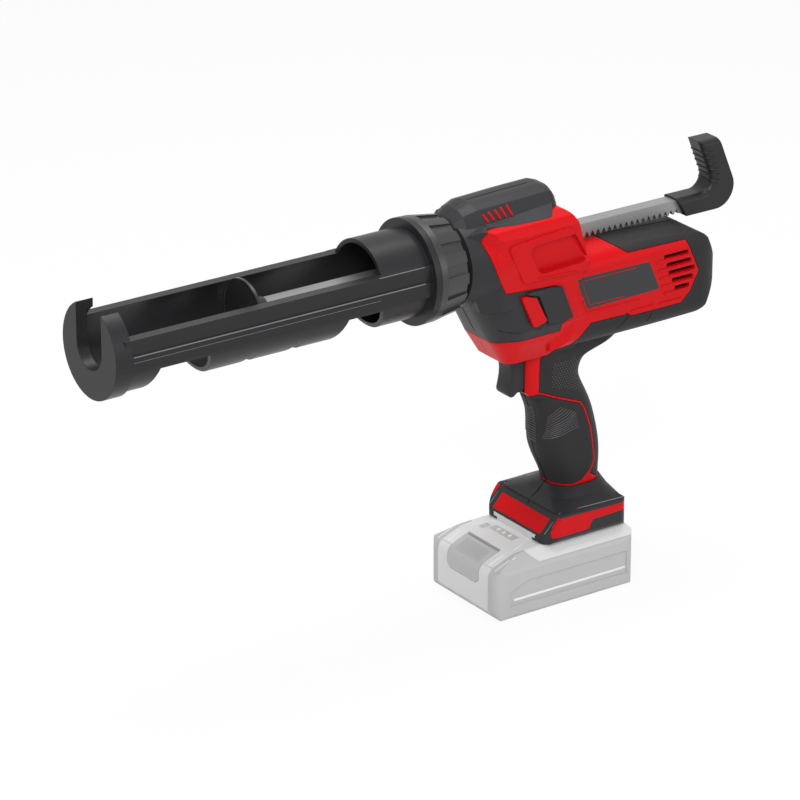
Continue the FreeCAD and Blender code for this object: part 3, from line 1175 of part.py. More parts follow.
ribs = [upright_rib(num(RIB_FRONT)).cut(frame_hole)]
for share in RIB_SHARES:
    ribs.append(upright_rib(num(MOTOR_FRONT) + share * num("motor_length - rib")).cut(motor_hole))
shelf = inner.common(boxed(("-column_front", "-handle_width", f"{SWITCH_SHELF} - wall"),
                           ("handle_depth", "handle_width", SWITCH_SHELF)))
window = zone(WINDOW_ZONE_SHARES, MOTOR_BOX)
soft_room = [zone(BUMPER_ZONE_SHARES, MOTOR_BOX, grow="seam").cut([
    zone(WINDOW_ZONE_SHARES, MOTOR_BOX, grow="-seam"), skin])]
soft_room += [zone(shares, HANDLE_BOX, grow="seam").cut(skin) for shares in (SPINE_ZONE_SHARES,
                                                                             PALM_ZONE_SHARES)]
body = shell.cut([zone(NOSE_ZONE_SHARES, GEAR_BOX, "case_edge", "seam"), foot_side] + soft_room)
PANEL_FACE = num("gear_case_width / 2")
panel_frames, pockets, floors = [], [], []
for sign in (-1, 1):
    low, high = sorted((sign * (PANEL_FACE - num("wall / 2")), sign * (PANEL_FACE + num("panel_raise"))))
    panel_frames.append(zone(PANEL_ZONE_SHARES, GEAR_BOX, "case_edge", low=low, high=high))
    bottom = PANEL_FACE + num("panel_raise") - num("panel_pocket")
    low, high = sorted((sign * bottom, sign * REACH))
    pockets.append(zone(POCKET_ZONE_SHARES, GEAR_BOX, "case_edge", low=low, high=high))
    low, high = sorted((sign * (bottom - num("wall")), sign * (PANEL_FACE - num("wall / 2"))))
    floors.append(zone(POCKET_ZONE_SHARES, GEAR_BOX, "case_edge", "wall", low, high).common(outer))
vents = []
for start, end, level in VENT_SHARES:
    left, width, base, height = (num(text) for text in MOTOR_BOX)
    middle, half = base + level * height, num("vent_height / 2")
    vents.append(slab((left + start * width, -REACH, middle - half),
                      (left + end * width, REACH, middle + half)))
vent_room = [vent.cut(motor_case(num("wall + running_gap"))) for vent in vents]
plate_zone = zone(PLATE_ZONE_SHARES, MOTOR_BOX, high=0)
plate_bed = plate_zone.cut(motor_case(num("inlay")))
rod_way = boxed((NOSE_FRONT, "-rod_width / 2 - gear_side_gap", f"{GRIP_BOTTOM} - running_gap"),
                ("cradle_reach", "rod_width / 2 + gear_side_gap", f"{GRIP_TOP_LEG} + running_gap"))
TRIGGER_SIDE = "trigger_width / 2 + running_gap"
trigger_way = boxed((TRIGGER_FRONT, f"-({TRIGGER_SIDE})", f"{TRIGGER_BOTTOM} - running_gap"),
                    (TRIGGER_BACK, TRIGGER_SIDE, "axis_height - gear_case_drop"))
body = body.fuse(ribs + [shelf] + panel_frames + floors + bosses(BODY_SPOTS))
body = body.cut(pockets + vent_room + [plate_bed, rod_way, trigger_way] + screw_holes(BODY_SPOTS))
halves("body_shell", body)
node("side_plate", feature("side_plate_inlay",
                           plate_zone.common(motor_case(0)).cut(motor_case(num("inlay")))))

# Soft grips over the shells.

halves("rear_bumper", layer.common(zone(BUMPER_ZONE_SHARES,
                                        MOTOR_BOX)).cut([window] + screw_holes(BODY_SPOTS)))
halves("spine_grip", layer.common(zone(SPINE_ZONE_SHARES, HANDLE_BOX)).cut(screw_holes(BODY_SPOTS)))
halves("palm_grip", layer.common(zone(PALM_ZONE_SHARES, HANDLE_BOX)).cut(screw_holes(BODY_SPOTS)))

# Foot: a channel for the battery's rails, a red panel and stripes, and the terminals.

foot_skin = foot(0).cut(foot(num("inlay")))
PANEL_HALF, PANEL_LOW = "foot_panel_width / 2", f"{CHANNEL_TOP} + inlay"
PANEL_REAR = "(foot_panel_depth - foot_front)"
panel_room = boxed(("-foot_front - overrun", f"-({PANEL_HALF})", PANEL_LOW),
                   (PANEL_REAR, PANEL_HALF, FOOT_TOP))
STRIPE_SIDE = num("foot_width / 2 - foot_corner / 2")
stripes = foot_skin.common(zone(STRIPE_ZONE_SHARES, FOOT_BOX)).cut(
    slab((-far, -STRIPE_SIDE, 0), (far, STRIPE_SIDE, far)))
SLOT_SIDE = "(tongue_width / 2 + running_gap)"
NECK_SIDE = "(tongue_width / 2 - tongue_undercut + running_gap)"
FLANGE_LOW = f"({TONGUE_TOP} - tongue_flange - running_gap)"
CHANNEL_REAR = f"({TONGUE_REAR} + running_gap)"
channel = boxed(("-foot_front - overrun", f"-{SLOT_SIDE}", FLANGE_LOW),
                (CHANNEL_REAR, SLOT_SIDE, CHANNEL_TOP)).fuse(
    boxed(("-foot_front - overrun", f"-{NECK_SIDE}", f"{FOOT_BOTTOM} - overrun"),
          (CHANNEL_REAR, NECK_SIDE, CHANNEL_TOP)))
TERMINAL_FRONT = f"({TONGUE_REAR} - terminal_length - 2 * wall)"
TERMINAL_REAR = f"({TERMINAL_FRONT} + terminal_length)"
terminal_room = boxed((TERMINAL_FRONT, "-terminal_width / 2", CHANNEL_TOP),
                      (TERMINAL_REAR, "terminal_width / 2", f"{CHANNEL_TOP} + terminal_height"))
floor = foot(0).common(slab((-far, -REACH, 0), (far, REACH, num(f"{CHANNEL_TOP} + wall"))))
foot_shell = shell.common(foot_side).fuse([floor] + bosses(FOOT_SPOTS))
foot_shell = foot_shell.cut([channel, terminal_room, foot_skin.common(panel_room),
                             stripes] + screw_holes(FOOT_SPOTS))
halves("foot_cover", foot_shell)
node("foot_front_panel", feature("foot_panel_inlay", foot_skin.common(panel_room)))
for side, low, high in (("left", -REACH, 0), ("right", 0, REACH)):
    node(f"foot_stripe_{side}", feature(f"foot_stripe_{side}_inlay",
                                        stripes.common(slab((-far, low, 0), (far, high, far)))))
TERMINAL_MIDDLE = f"({TERMINAL_FRONT} + terminal_length / 2)"
node("terminal_block", block("terminal_body", (TERMINAL_FRONT, "-terminal_width / 2", CHANNEL_TOP),
                             (TERMINAL_REAR, "terminal_width / 2", f"{CHANNEL_TOP} + terminal_height")))
BLADE_FRONT = f"({TERMINAL_MIDDLE} - blade_length / 2)"
BLADE_ROWS = [f"({index - (BLADES - 1) / 2} * terminal_width / {BLADES})" for index in range(BLADES)]
node("terminal_blades", group("blades", *[block(
    f"blade_{index}", (BLADE_FRONT, f"{row} - blade_thickness / 2", f"{CHANNEL_TOP} - blade_drop"),
    (f"{BLADE_FRONT} + blade_length", f"{row} + blade_thickness / 2", CHANNEL_TOP))
    for index, row in enumerate(BLADE_ROWS)]))

# Housing screws, all from the right.

screws = []
for index, spot in enumerate(NOSE_SPOTS + BODY_SPOTS + FOOT_SPOTS):
    seat = num("screw_seat")
    head = across_drum(num("screw_head_diameter"), spot, seat, seat + num("screw_head_length"))
    screws.append(head.fuse([across_drum(num("screw_diameter"), spot, -num("screw_grip"), seat)]))
node("housing_screws", feature("housing_screw_set", Part.makeCompound(screws)))

# Controls: trigger with its switch, and the button that frees the rod.

TRIGGER_SIDE_SHARES = ((0, 1), (0.052, 0.636, 2), (0, 0.279, 1), (0.222, 0, 1), (0.815, 0.029), (1, 0.029),
                       (1, 1))
TRIGGER_PLAN_SHARES = ((0, 0, 1), (1, 0), (1, 1), (0, 1, 1))
SQUARE_SHARES = ((0, 0), (1, 0), (1, 1), (0, 1))
TRIGGER_BOX = (TRIGGER_FRONT, f"{TRIGGER_BACK} - {TRIGGER_FRONT}", TRIGGER_BOTTOM, "trigger_height")
STEM_Z = f"({TRIGGER_BOTTOM} + trigger_height / 2)"
trigger = carved(laid_out(TRIGGER_SIDE_SHARES, TRIGGER_BOX, "column_corner"),
                 laid_out(TRIGGER_PLAN_SHARES, TRIGGER_BOX[:2] + across("trigger_width"), "column_corner"),
                 laid_out(SQUARE_SHARES, across("trigger_width") + TRIGGER_BOX[2:]), 0)
KEEPER_SIDE = "(column_width / 2 - column_corner)"
keeper = boxed(("-column_front + wall + running_gap", f"-{KEEPER_SIDE}", f"{TRIGGER_TOP} - wall"),
               (TRIGGER_BACK, KEEPER_SIDE, f"{TRIGGER_TOP} + wall"))
stem = drum(num("trigger_stem_diameter"), Vector(num(TRIGGER_BACK), 0, num(STEM_Z)),
            Vector(num("2 * trigger_travel + switch_gap"), 0, 0))
node("trigger", feature("trigger_moulding", trigger.fuse([keeper, stem])))
node("trigger_switch", cut("switch", block(
    "switch_case", (SWITCH_FRONT, "-switch_width / 2", SWITCH_SHELF),
    (f"{SWITCH_FRONT} + switch_length", "switch_width / 2", TRIGGER_TOP)), cylinder(
    "stem_bore", "trigger_stem_diameter + 2 * shaft_clearance",
    "2 * trigger_travel + switch_gap + overrun", "x",
    f"{SWITCH_FRONT} - overrun", "0", STEM_Z)))

BUTTON_FACE = "(-gear_case_width / 2 - button_proud)"
BUTTON_STOP = "(-chin_width / 2 + wall + button_flange / 2)"
button = zone(BUTTON_ZONE_SHARES, GEAR_BOX, "case_edge", low=num(BUTTON_FACE), high=num(BUTTON_STOP))
button_flange = zone(BUTTON_ZONE_SHARES, GEAR_BOX, "case_edge", "button_flange", num(BUTTON_STOP),
                     num(f"{BUTTON_STOP} + button_flange"))
node("release_button", feature("button_moulding", button.fuse([button_flange])))

# Battery: a tray with sides, a cover with slide rails, cells, a latch and a charge indicator.

BATTERY_SIDE_SHARES = ((0.035, 0), (0, 0.138), (0, 0.79, 1), (0.165, 0.965, 2), (0.31, 1), (0.957, 1, 0.5),
                       (1, 0.876, 0.5), (1, 0.06), (0.985, 0))
BATTERY_SECTION_SHARES = ((0.02, 0), (0, 0.05), (0, 0.78, 0.4), (0.12, 1, 0.4), (0.88, 1, 0.4),
                          (1, 0.78, 0.4),
                          (1, 0.05), (0.98, 0))
LATCH_SHARES = ((0.1, 0), (0, 0.14), (0, 1.2), (1, 1.2), (1, 0.14), (0.9, 0))
RECESS_SHARES = ((0.095, 0.21), (0.095, 0.45), (0.22, 0.58), (0.935, 0.58), (0.935, 0.2))
TRAY_CORNER_SHARES = ((-0.05, 0.7), (0.36, 0.7), (0.3, 0.84), (0.2, 1.1), (-0.05, 1.1))
BATTERY_BOX = (BATTERY_FRONT, BATTERY_LENGTH, "0", BATTERY_DECK)
LATCH_BOX = across("latch_width") + ("latch_rise", f"{BATTERY_DECK} - latch_rise")


def battery(inset):
    width = f"2 * {BATTERY_SIDE}"
    return carved(laid_out(BATTERY_SIDE_SHARES, BATTERY_BOX, "battery_corner"),
                  laid_out(ROUND_BOX_SHARES, BATTERY_BOX[:2] + (f"-{BATTERY_SIDE}", width),
                           "battery_corner"),
                  laid_out(BATTERY_SECTION_SHARES, (f"-{BATTERY_SIDE}", width) + BATTERY_BOX[2:],
                           "battery_corner"),
                  inset)


cells = []
for layer_index in range(CELL_LAYERS):
    for row in range(CELL_ROWS):
        pitch = "(cell_diameter + cell_gap)"
        x = num(f"{CELLS_FRONT} + cell_gap + cell_diameter / 2 + {row} * {pitch}")
        z = num(f"battery_wall + cell_diameter / 2 + {layer_index} * {pitch}")
        cells.append(across_drum(num("cell_diameter"), Vector(x, 0, z), -num("cell_length / 2"),
                                 num("cell_length / 2")))
cell_room = [drum(num("cell_diameter + 2 * cell_gap"),
                  cell.BoundBox.Center - Vector(0, num("cell_length / 2 + cell_gap"), 0),
                  Vector(0, num("cell_length + 2 * cell_gap"), 0)) for cell in cells]
node("battery_cells", feature("cell_set", Part.makeCompound(cells)))

pack_outer, pack_inner, pack_skin = battery(0), battery(num("battery_wall")), battery(num("inlay"))
LATCH_BACK = f"({CELLS_FRONT} - battery_wall)"


def latch_prism(grow, rear):
    points = inset_outline(laid_out(LATCH_SHARES, LATCH_BOX), -num(grow))
    return prism(points, "YZ", num(f"{BATTERY_FRONT} - overrun"), num(rear))


latch_room = latch_prism("running_gap", LATCH_BACK)
latch_walls = latch_prism("battery_wall", CELLS_FRONT).common(pack_outer)
tray_side = slab((-far, -REACH, 0), (far, REACH, num("battery_split")))
for low, high in ((-REACH, num("-battery_frame_width / 2")), (num("battery_frame_width / 2"), REACH)):
    tray_side = tray_side.fuse([zone(TRAY_CORNER_SHARES, BATTERY_BOX, low=low, high=high)])
front_zone = boxed((BATTERY_FRONT, "-battery_frame_width / 2", "battery_wall"),
                   (LATCH_BACK, "battery_frame_width / 2", "battery_split"))
front_frame = pack_outer.cut(pack_skin).common(front_zone).cut(latch_room)
TONGUE_SIDE, TONGUE_NECK = "(tongue_width / 2)", "(tongue_width / 2 - tongue_undercut)"
TONGUE_FLANGE = f"({TONGUE_TOP} - tongue_flange)"
tongue = boxed(("-tongue_front", f"-{TONGUE_NECK}", f"{BATTERY_DECK} - battery_wall"),
               (TONGUE_REAR, TONGUE_NECK, TONGUE_TOP)).fuse(
    boxed(("-tongue_front", f"-{TONGUE_SIDE}", TONGUE_FLANGE), (TONGUE_REAR, TONGUE_SIDE, TONGUE_TOP)))
blade_slots = [boxed((f"{BLADE_FRONT} - running_gap", f"{row} - blade_thickness / 2 - running_gap",
                      f"{CHANNEL_TOP} - blade_drop - running_gap"),
                     (f"{TONGUE_REAR} + overrun", f"{row} + blade_thickness / 2 + running_gap",
                      f"{TONGUE_TOP} + overrun")) for row in BLADE_ROWS]
INDICATOR_FRONT = f"({BATTERY_FRONT} + indicator_setback)"
indicator_zone = boxed((INDICATOR_FRONT, "-indicator_width / 2", "battery_split"),
                       (f"{INDICATOR_FRONT} + indicator_length", "indicator_width / 2", TONGUE_TOP))
indicator = pack_outer.cut(pack_skin).common(indicator_zone)
pack_wall = pack_outer.cut(pack_inner).fuse([latch_walls]).cut([latch_room, front_frame,
                                                                indicator] + cell_room)
recesses = [zone(RECESS_SHARES, BATTERY_BOX, low=low, high=high) for low, high in (
    (-REACH, num(f"-{BATTERY_SIDE} + side_recess")), (num(f"{BATTERY_SIDE} - side_recess"), REACH))]
node("battery_lower_case", feature("tray", pack_wall.common(tray_side).cut(recesses)))
node("battery_upper_case", feature("cover", pack_wall.cut(tray_side).fuse([tongue]).cut(blade_slots)))
node("battery_front_frame", feature("front_frame_inlay", front_frame))
node("charge_indicator", feature("indicator_inlay", indicator))
latch_rear = f"{LATCH_BACK} - latch_travel - running_gap"
node("battery_latch", feature("latch_moulding", latch_prism("0", latch_rear).common(pack_outer)))
CARRIER_TOP = f"({BATTERY_DECK} - battery_wall)"
node("battery_contacts", block("contact_strip", (TERMINAL_FRONT, "-terminal_width / 2",
                                                 f"{CARRIER_TOP} - battery_headroom"),
                               (TERMINAL_REAR, "terminal_width / 2", CARRIER_TOP)))

# Check every object and write one file per piece.

doc.recompute()
for item in doc.Objects:
    if "Invalid" in item.State or "Error" in item.State:
        raise RuntimeError(f"{item.Label} failed: {item.State}")
for item in NODES:
    if item.Shape.isNull() or not item.Shape.isValid():
        raise RuntimeError(f"{item.Label} has no valid shape")
os.makedirs("parts", exist_ok=True)
for item in NODES:
    item.Shape.exportStep(f"parts/{item.Label}.step")
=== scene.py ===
import json
import math

import bpy
from mathutils import Matrix, Vector


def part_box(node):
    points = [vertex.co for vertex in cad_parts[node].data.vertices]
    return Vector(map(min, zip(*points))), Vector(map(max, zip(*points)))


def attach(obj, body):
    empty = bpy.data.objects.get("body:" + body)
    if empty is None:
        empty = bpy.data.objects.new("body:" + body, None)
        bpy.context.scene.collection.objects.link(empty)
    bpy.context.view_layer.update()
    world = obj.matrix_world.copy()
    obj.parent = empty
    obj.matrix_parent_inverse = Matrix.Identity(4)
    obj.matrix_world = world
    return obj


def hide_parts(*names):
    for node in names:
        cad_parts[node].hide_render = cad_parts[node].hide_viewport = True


bl_info = {
    "name": "Caulking tool",
    "version": (1, 0, 0),
    "blender": (4, 5, 0),
    "location": "View3D > Sidebar > Caulking tool",
    "description": "Finishes a cordless caulking tool and sets up its studio picture",
    "category": "Object",
}

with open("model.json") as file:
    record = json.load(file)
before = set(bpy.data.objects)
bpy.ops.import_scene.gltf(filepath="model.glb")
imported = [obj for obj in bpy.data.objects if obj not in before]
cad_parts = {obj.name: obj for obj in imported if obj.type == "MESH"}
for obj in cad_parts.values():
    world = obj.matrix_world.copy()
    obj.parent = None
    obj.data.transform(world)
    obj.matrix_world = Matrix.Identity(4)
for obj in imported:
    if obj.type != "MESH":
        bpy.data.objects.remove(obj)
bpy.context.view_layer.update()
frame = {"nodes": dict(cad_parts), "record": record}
NODES = frame["nodes"]
FINISH = {}
SIDES = ((-1, "left"), (1, "right"))
# Distances from the origin at which casting starts: beside, above, and before or behind it.
BESIDE, ABOVE, BEYOND = 0.1, 0.4, 0.3
# Edges sharper than this stay crisp, and round pieces have this many sides.
SMOOTH_ANGLE = math.radians(40)
ROUND_STEPS = 72


class CaulkingToolColours(bpy.types.PropertyGroup):
    """Colours of the mouldings, metals and battery."""

    red: bpy.props.FloatVectorProperty(
        name="Red", description="Body shells, button and trim",
        subtype="COLOR", size=3, default=(0.58, 0.004, 0.007))
    dark: bpy.props.FloatVectorProperty(
        name="Dark plastic", description="Nose cover, foot and trigger",
        subtype="COLOR", size=3, default=(0.027, 0.026, 0.0285))
    soft: bpy.props.FloatVectorProperty(
        name="Soft grip", description="Overmoulded grips and bumper",
        subtype="COLOR", size=3, default=(0.024, 0.0225, 0.024))
    trough: bpy.props.FloatVectorProperty(
        name="Trough", description="Cartridge trough, union nut and pull handle",
        subtype="COLOR", size=3, default=(0.018, 0.018, 0.0198))
    # Groove: near black for the seams, and painted shade in the neck's gap and the chin's crease.
    groove: bpy.props.FloatVectorProperty(
        name="Groove", description="Seams and shadow lines",
        subtype="COLOR", size=3, default=(0.004, 0.004, 0.004))
    # Bead: pale colour of the beads on the dark mouldings, a painted highlight along their edges.
    bead: bpy.props.FloatVectorProperty(
        name="Bead", description="Polished beads on the dark mouldings",
        subtype="COLOR", size=3, default=(0.16, 0.16, 0.165))
    rod: bpy.props.FloatVectorProperty(
        name="Rod", description="Toothed push rod",
        subtype="COLOR", size=3, default=(0.31, 0.31, 0.31))
    pack_side: bpy.props.FloatVectorProperty(
        name="Battery sides", description="Battery tray",
        subtype="COLOR", size=3, default=(0.50, 0.50, 0.50))
    pack_top: bpy.props.FloatVectorProperty(
        name="Battery top", description="Battery cover and front frame",
        subtype="COLOR", size=3, default=(0.72, 0.72, 0.72))
    pack_latch: bpy.props.FloatVectorProperty(
        name="Battery latch", description="Latch and indicator of the battery",
        subtype="COLOR", size=3, default=(0.50, 0.50, 0.50))
    pack_white: bpy.props.FloatVectorProperty(
        name="Battery white", description="Stripe and lights of the battery",
        subtype="COLOR", size=3, default=(0.86, 0.86, 0.86))


class CaulkingToolSizes(bpy.types.PropertyGroup):
    """Sizes of the small mouldings and of the surface finish."""

    axis: bpy.props.FloatProperty(
        name="Rod axis", description="Height of the push rod's axis",
        subtype="DISTANCE", unit="LENGTH",
        default=sum(corner[2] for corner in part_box("plunger")) / 2)
    grain: bpy.props.FloatProperty(
        name="Grain", description="Repeats of the moulded grain per metre",
        default=2600.0, min=100.0)
    edge: bpy.props.FloatProperty(
        name="Edge", description="Softened edge of the mouldings",
        subtype="DISTANCE", unit="LENGTH", default=0.0006)
    bar_width: bpy.props.FloatProperty(
        name="Hood bar", description="Width of a bar on the hood",
        subtype="DISTANCE", unit="LENGTH", default=0.0017)
    fin_height: bpy.props.FloatProperty(
        name="Vent fin", description="Height of a fin under a vent",
        subtype="DISTANCE", unit="LENGTH", default=0.0016)
    rib: bpy.props.FloatProperty(
        name="Grip rib", description="Half width of a rib on the grips",
        subtype="DISTANCE", unit="LENGTH", default=0.00042)
    dot: bpy.props.FloatProperty(
        name="Grip dot", description="Radius of a dot on the spine grip",
        subtype="DISTANCE", unit="LENGTH", default=0.0006)
    dot_pitch: bpy.props.FloatProperty(
        name="Dot pitch", description="Distance between two dots",
        subtype="DISTANCE", unit="LENGTH", default=0.0021)
    handle_rib: bpy.props.FloatProperty(
        name="Handle rib", description="Half width of a rib on the pull handle",
        subtype="DISTANCE", unit="LENGTH", default=0.0007)
    trim: bpy.props.FloatProperty(
        name="Trim line", description="Half width of the line on the side plate",
        subtype="DISTANCE", unit="LENGTH", default=0.00032)
    seam: bpy.props.FloatProperty(
        name="Seam", description="Half width of a parting seam",
        subtype="DISTANCE", unit="LENGTH", default=0.00022)
    # Half width of the beads that carry the painted highlight.
    bead: bpy.props.FloatProperty(
        name="Bead", description="Half width of a polished bead",
        subtype="DISTANCE", unit="LENGTH", default=0.0004)
    light: bpy.props.FloatProperty(
        name="Light", description="Edge of one light of the charge indicator",
        subtype="DISTANCE", unit="LENGTH", default=0.0028)


def mm(*values):
    """Millimetres as metres."""
    return tuple(value / 1000 for value in values)


def deselect_all():
    """Leave edit mode, with nothing selected."""
    if bpy.context.object and bpy.context.object.mode != "OBJECT":
        bpy.ops.object.mode_set(mode="OBJECT")
    bpy.ops.object.select_all(action="DESELECT")


def only(*pieces):
    """Select these pieces alone, with the first one active."""
    deselect_all()
    for piece in pieces:
        piece.select_set(True)
    bpy.context.view_layer.objects.active = pieces[0]


def first_hit(nodes, start, aim):
    """Point, normal and name of the first of the nodes that a line meets."""
    start, best = Vector(start), None
    for name in nodes:
        hit, place, normal, _ = NODES[name].ray_cast(start, Vector(aim))
        if hit and (best is None or (place - start).length < (best[0] - start).length):
            best = (place, normal, name)
    if best is None:
        raise RuntimeError(f"no surface of {nodes} on the line from {tuple(start)}")
    return best


def from_side(nodes, x, z, side):
    """Point, normal and node met from the left (-1) or the right (1)."""
    return first_hit(nodes, (x, side * BESIDE, z), (0, -side, 0))


def from_above(nodes, x, y):
    """Point, normal and node met from above."""
    return first_hit(nodes, (x, y, ABOVE), (0, 0, -1))


def from_front(nodes, y, z):
    """Point, normal and node met from the front."""
    return first_hit(nodes, (-BEYOND, y, z), (1, 0, 0))


def from_rear(nodes, y, z):
    """Point, normal and node met from the rear."""
    return first_hit(nodes, (BEYOND, y, z), (-1, 0, 0))


def even_steps(ends, count):
    """Values from one end to the other in even steps."""
    first, last = ends
    return [first + (last - first) * index / (count - 1) for index in range(count)]


def seat(normal, along):
    """Turn that puts a piece's X along a direction and its Z along the normal."""
    up = Vector(normal).normalized()
    right = (Vector(along) - up * Vector(along).dot(up)).normalized()
    return Matrix((right, up.cross(right), up)).transposed().to_4x4()


def copy_of(piece, place):
    """Copy with a mesh of its own, moved by the given matrix."""
    twin = piece.copy()
    twin.data = piece.data.copy()
    bpy.context.collection.objects.link(twin)
    twin.matrix_world = place
    return twin


def joined(pieces):
    """The pieces as one."""
    only(*pieces)
    if len(pieces) > 1:
        bpy.ops.object.join()
    return bpy.context.object


def settle(piece, name, body, slot, finish=None):
    """Put the piece's place into its mesh, shade it and hand it to its body."""
    only(piece)
    bpy.ops.object.transform_apply(location=True, rotation=True, scale=True)
    bpy.ops.object.shade_smooth_by_angle(angle=SMOOTH_ANGLE)
    piece.name = piece.data.name = name
    piece.data.materials.clear()
    piece.data.materials.append(FINISH[finish or slot])
    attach(piece, body)


def rounded_bar(length, width, height, bevel):
    """Bar along X with rounded edges, centred on the origin."""
    deselect_all()
    bpy.ops.mesh.primitive_cube_add(size=1.0)
    bpy.ops.object.mode_set(mode="EDIT")
    bpy.ops.transform.resize(value=(length, width, height))
    bpy.ops.mesh.select_all(action="SELECT")
    bpy.ops.mesh.bevel(offset=bevel, segments=2, affect="EDGES")
    bpy.ops.object.mode_set(mode="OBJECT")
    return bpy.context.object


def surface_line(points, half_width):
    """Round line through points on a surface, made a mesh."""
    deselect_all()
    bpy.ops.curve.primitive_nurbs_path_add()
    path = bpy.context.object
    path.data.splines.clear()
    run = path.data.splines.new("POLY")
    run.points.add(len(points) - 1)
    for knot, point in zip(run.points, points):
        knot.co = (*point, 1)
    path.data.bevel_depth = half_width
    path.data.bevel_resolution = 1
    path.data.use_fill_caps = True
    bpy.ops.object.convert(target="MESH")
    return bpy.context.object


def outline_of(points, fill="NGON"):
    """Ring of corners at the given points, filled or open, all selected in edit mode."""
    deselect_all()
    bpy.ops.mesh.primitive_circle_add(vertices=len(points), fill_type=fill)
    ring = bpy.context.object
    for corner, point in zip(ring.data.vertices, points):
        corner.co = point
    bpy.ops.object.mode_set(mode="EDIT")
    bpy.ops.mesh.select_all(action="SELECT")
    return ring


def extrude(*move):
    """Draw the selected faces out by a move."""
    bpy.ops.mesh.extrude_region_move(TRANSFORM_OT_translate={"value": move})


def close_up():
    """Point every face outwards and leave edit mode."""
    bpy.ops.mesh.select_all(action="SELECT")
    bpy.ops.mesh.normals_make_consistent(inside=False)
    bpy.ops.object.mode_set(mode="OBJECT")


def apply_modifier(piece, kind, **values):
    """Shape the piece by a modifier and apply it."""
    only(piece)
    modifier = piece.modifiers.new(kind.title(), kind)
    for key, value in values.items():
        setattr(modifier, key, value)
    bpy.ops.object.modifier_apply(modifier=modifier.name)


def smooth_path(corners, count):
    """Points along a smooth curve through corners in the plane of a side."""
    knots = [2 * corners[0] - corners[1], *corners, 2 * corners[-1] - corners[-2]]
    points = []
    for t in even_steps((0, len(knots) - 3), count):
        step = min(int(t), len(knots) - 4)
        a, b, c, d = knots[step:step + 4]
        u = t - step
        points.append(0.5 * (2 * b + (c - a) * u + (2 * a - 5 * b + 4 * c - d) * u ** 2
                             + (3 * b - a - 3 * c + d) * u ** 3))
    return points


def inside(area, x, z):
    """Whether a point lies in an outline."""
    within = False
    for (x0, z0), (x1, z1) in zip(area, (*area[1:], area[0])):
        if (z0 > z) != (z1 > z) and x < x0 + (z - z0) / (z1 - z0) * (x1 - x0):
            within = not within
    return within


# Grain: detail of the fine grain, scale and detail of the broad tone, and the grain's depth.
GRAIN_DETAIL, TONE_SCALE, TONE_DETAIL = 2.0, 38.0, 3.0
GRAIN_DEPTH = 0.0002
ROUGHNESS_SPREAD = 0.05
EDGE_SAMPLES = 6


def grain_group():
    """Fine moulded grain: a height for the bump and a mask for the tone."""
    tree = bpy.data.node_groups.get("Moulded grain")
    if tree:
        return tree
    tree = bpy.data.node_groups.new("Moulded grain", "ShaderNodeTree")
    tree.interface.new_socket("Scale", in_out="INPUT", socket_type="NodeSocketFloat")
    for name in ("Height", "Tone"):
        tree.interface.new_socket(name, in_out="OUTPUT", socket_type="NodeSocketFloat")
    nodes, links = tree.nodes, tree.links
    entry, leave = nodes.new("NodeGroupInput"), nodes.new("NodeGroupOutput")
    place = nodes.new("ShaderNodeTexCoord")
    fine = nodes.new("ShaderNodeTexNoise")
    fine.inputs["Detail"].default_value = GRAIN_DETAIL
    links.new(place.outputs["Object"], fine.inputs["Vector"])
    links.new(entry.outputs["Scale"], fine.inputs["Scale"])
    broad = nodes.new("ShaderNodeTexNoise")
    broad.inputs["Scale"].default_value = TONE_SCALE
    broad.inputs["Detail"].default_value = TONE_DETAIL
    links.new(place.outputs["Object"], broad.inputs["Vector"])
    links.new(fine.outputs["Fac"], leave.inputs["Height"])
    links.new(broad.outputs["Fac"], leave.inputs["Tone"])
    return tree


def moulded(name, colour, roughness, bump, variation, edge, metallic, gloss, grain):
    """Material with a fine grain, a slight change of tone and softened edges."""
    material = bpy.data.materials.new(name)
    material.use_nodes = True
    nodes, links = material.node_tree.nodes, material.node_tree.links
    shader = nodes["Principled BSDF"]
    shader.inputs["Metallic"].default_value = metallic
    shader.inputs["Specular IOR Level"].default_value = gloss
    texture = nodes.new("ShaderNodeGroup")
    texture.node_tree = grain_group()
    texture.inputs["Scale"].default_value = grain
    tone = nodes.new("ShaderNodeMix")
    tone.data_type = "RGBA"
    tone.inputs["A"].default_value = (*[c * (1 - variation) for c in colour], 1)
    tone.inputs["B"].default_value = (*[min(c * (1 + variation), 1) for c in colour], 1)
    links.new(texture.outputs["Tone"], tone.inputs["Factor"])
    links.new(tone.outputs["Result"], shader.inputs["Base Color"])
    rough = nodes.new("ShaderNodeMapRange")
    rough.inputs["To Min"].default_value = roughness - ROUGHNESS_SPREAD
    rough.inputs["To Max"].default_value = roughness + ROUGHNESS_SPREAD
    links.new(texture.outputs["Tone"], rough.inputs["Value"])
    links.new(rough.outputs["Result"], shader.inputs["Roughness"])
    relief = nodes.new("ShaderNodeBump")
    relief.inputs["Strength"].default_value = bump
    relief.inputs["Distance"].default_value = GRAIN_DEPTH
    links.new(texture.outputs["Height"], relief.inputs["Height"])
    if edge:
        soft = nodes.new("ShaderNodeBevel")
        soft.samples = EDGE_SAMPLES
        soft.inputs["Radius"].default_value = edge
        links.new(soft.outputs["Normal"], relief.inputs["Normal"])
    links.new(relief.outputs["Normal"], shader.inputs["Normal"])
    return material


# The relief on the grips is painted paler than the soft grip by this factor, a painted highlight.
RELIEF_HIGHLIGHT_LIFT = 2.6
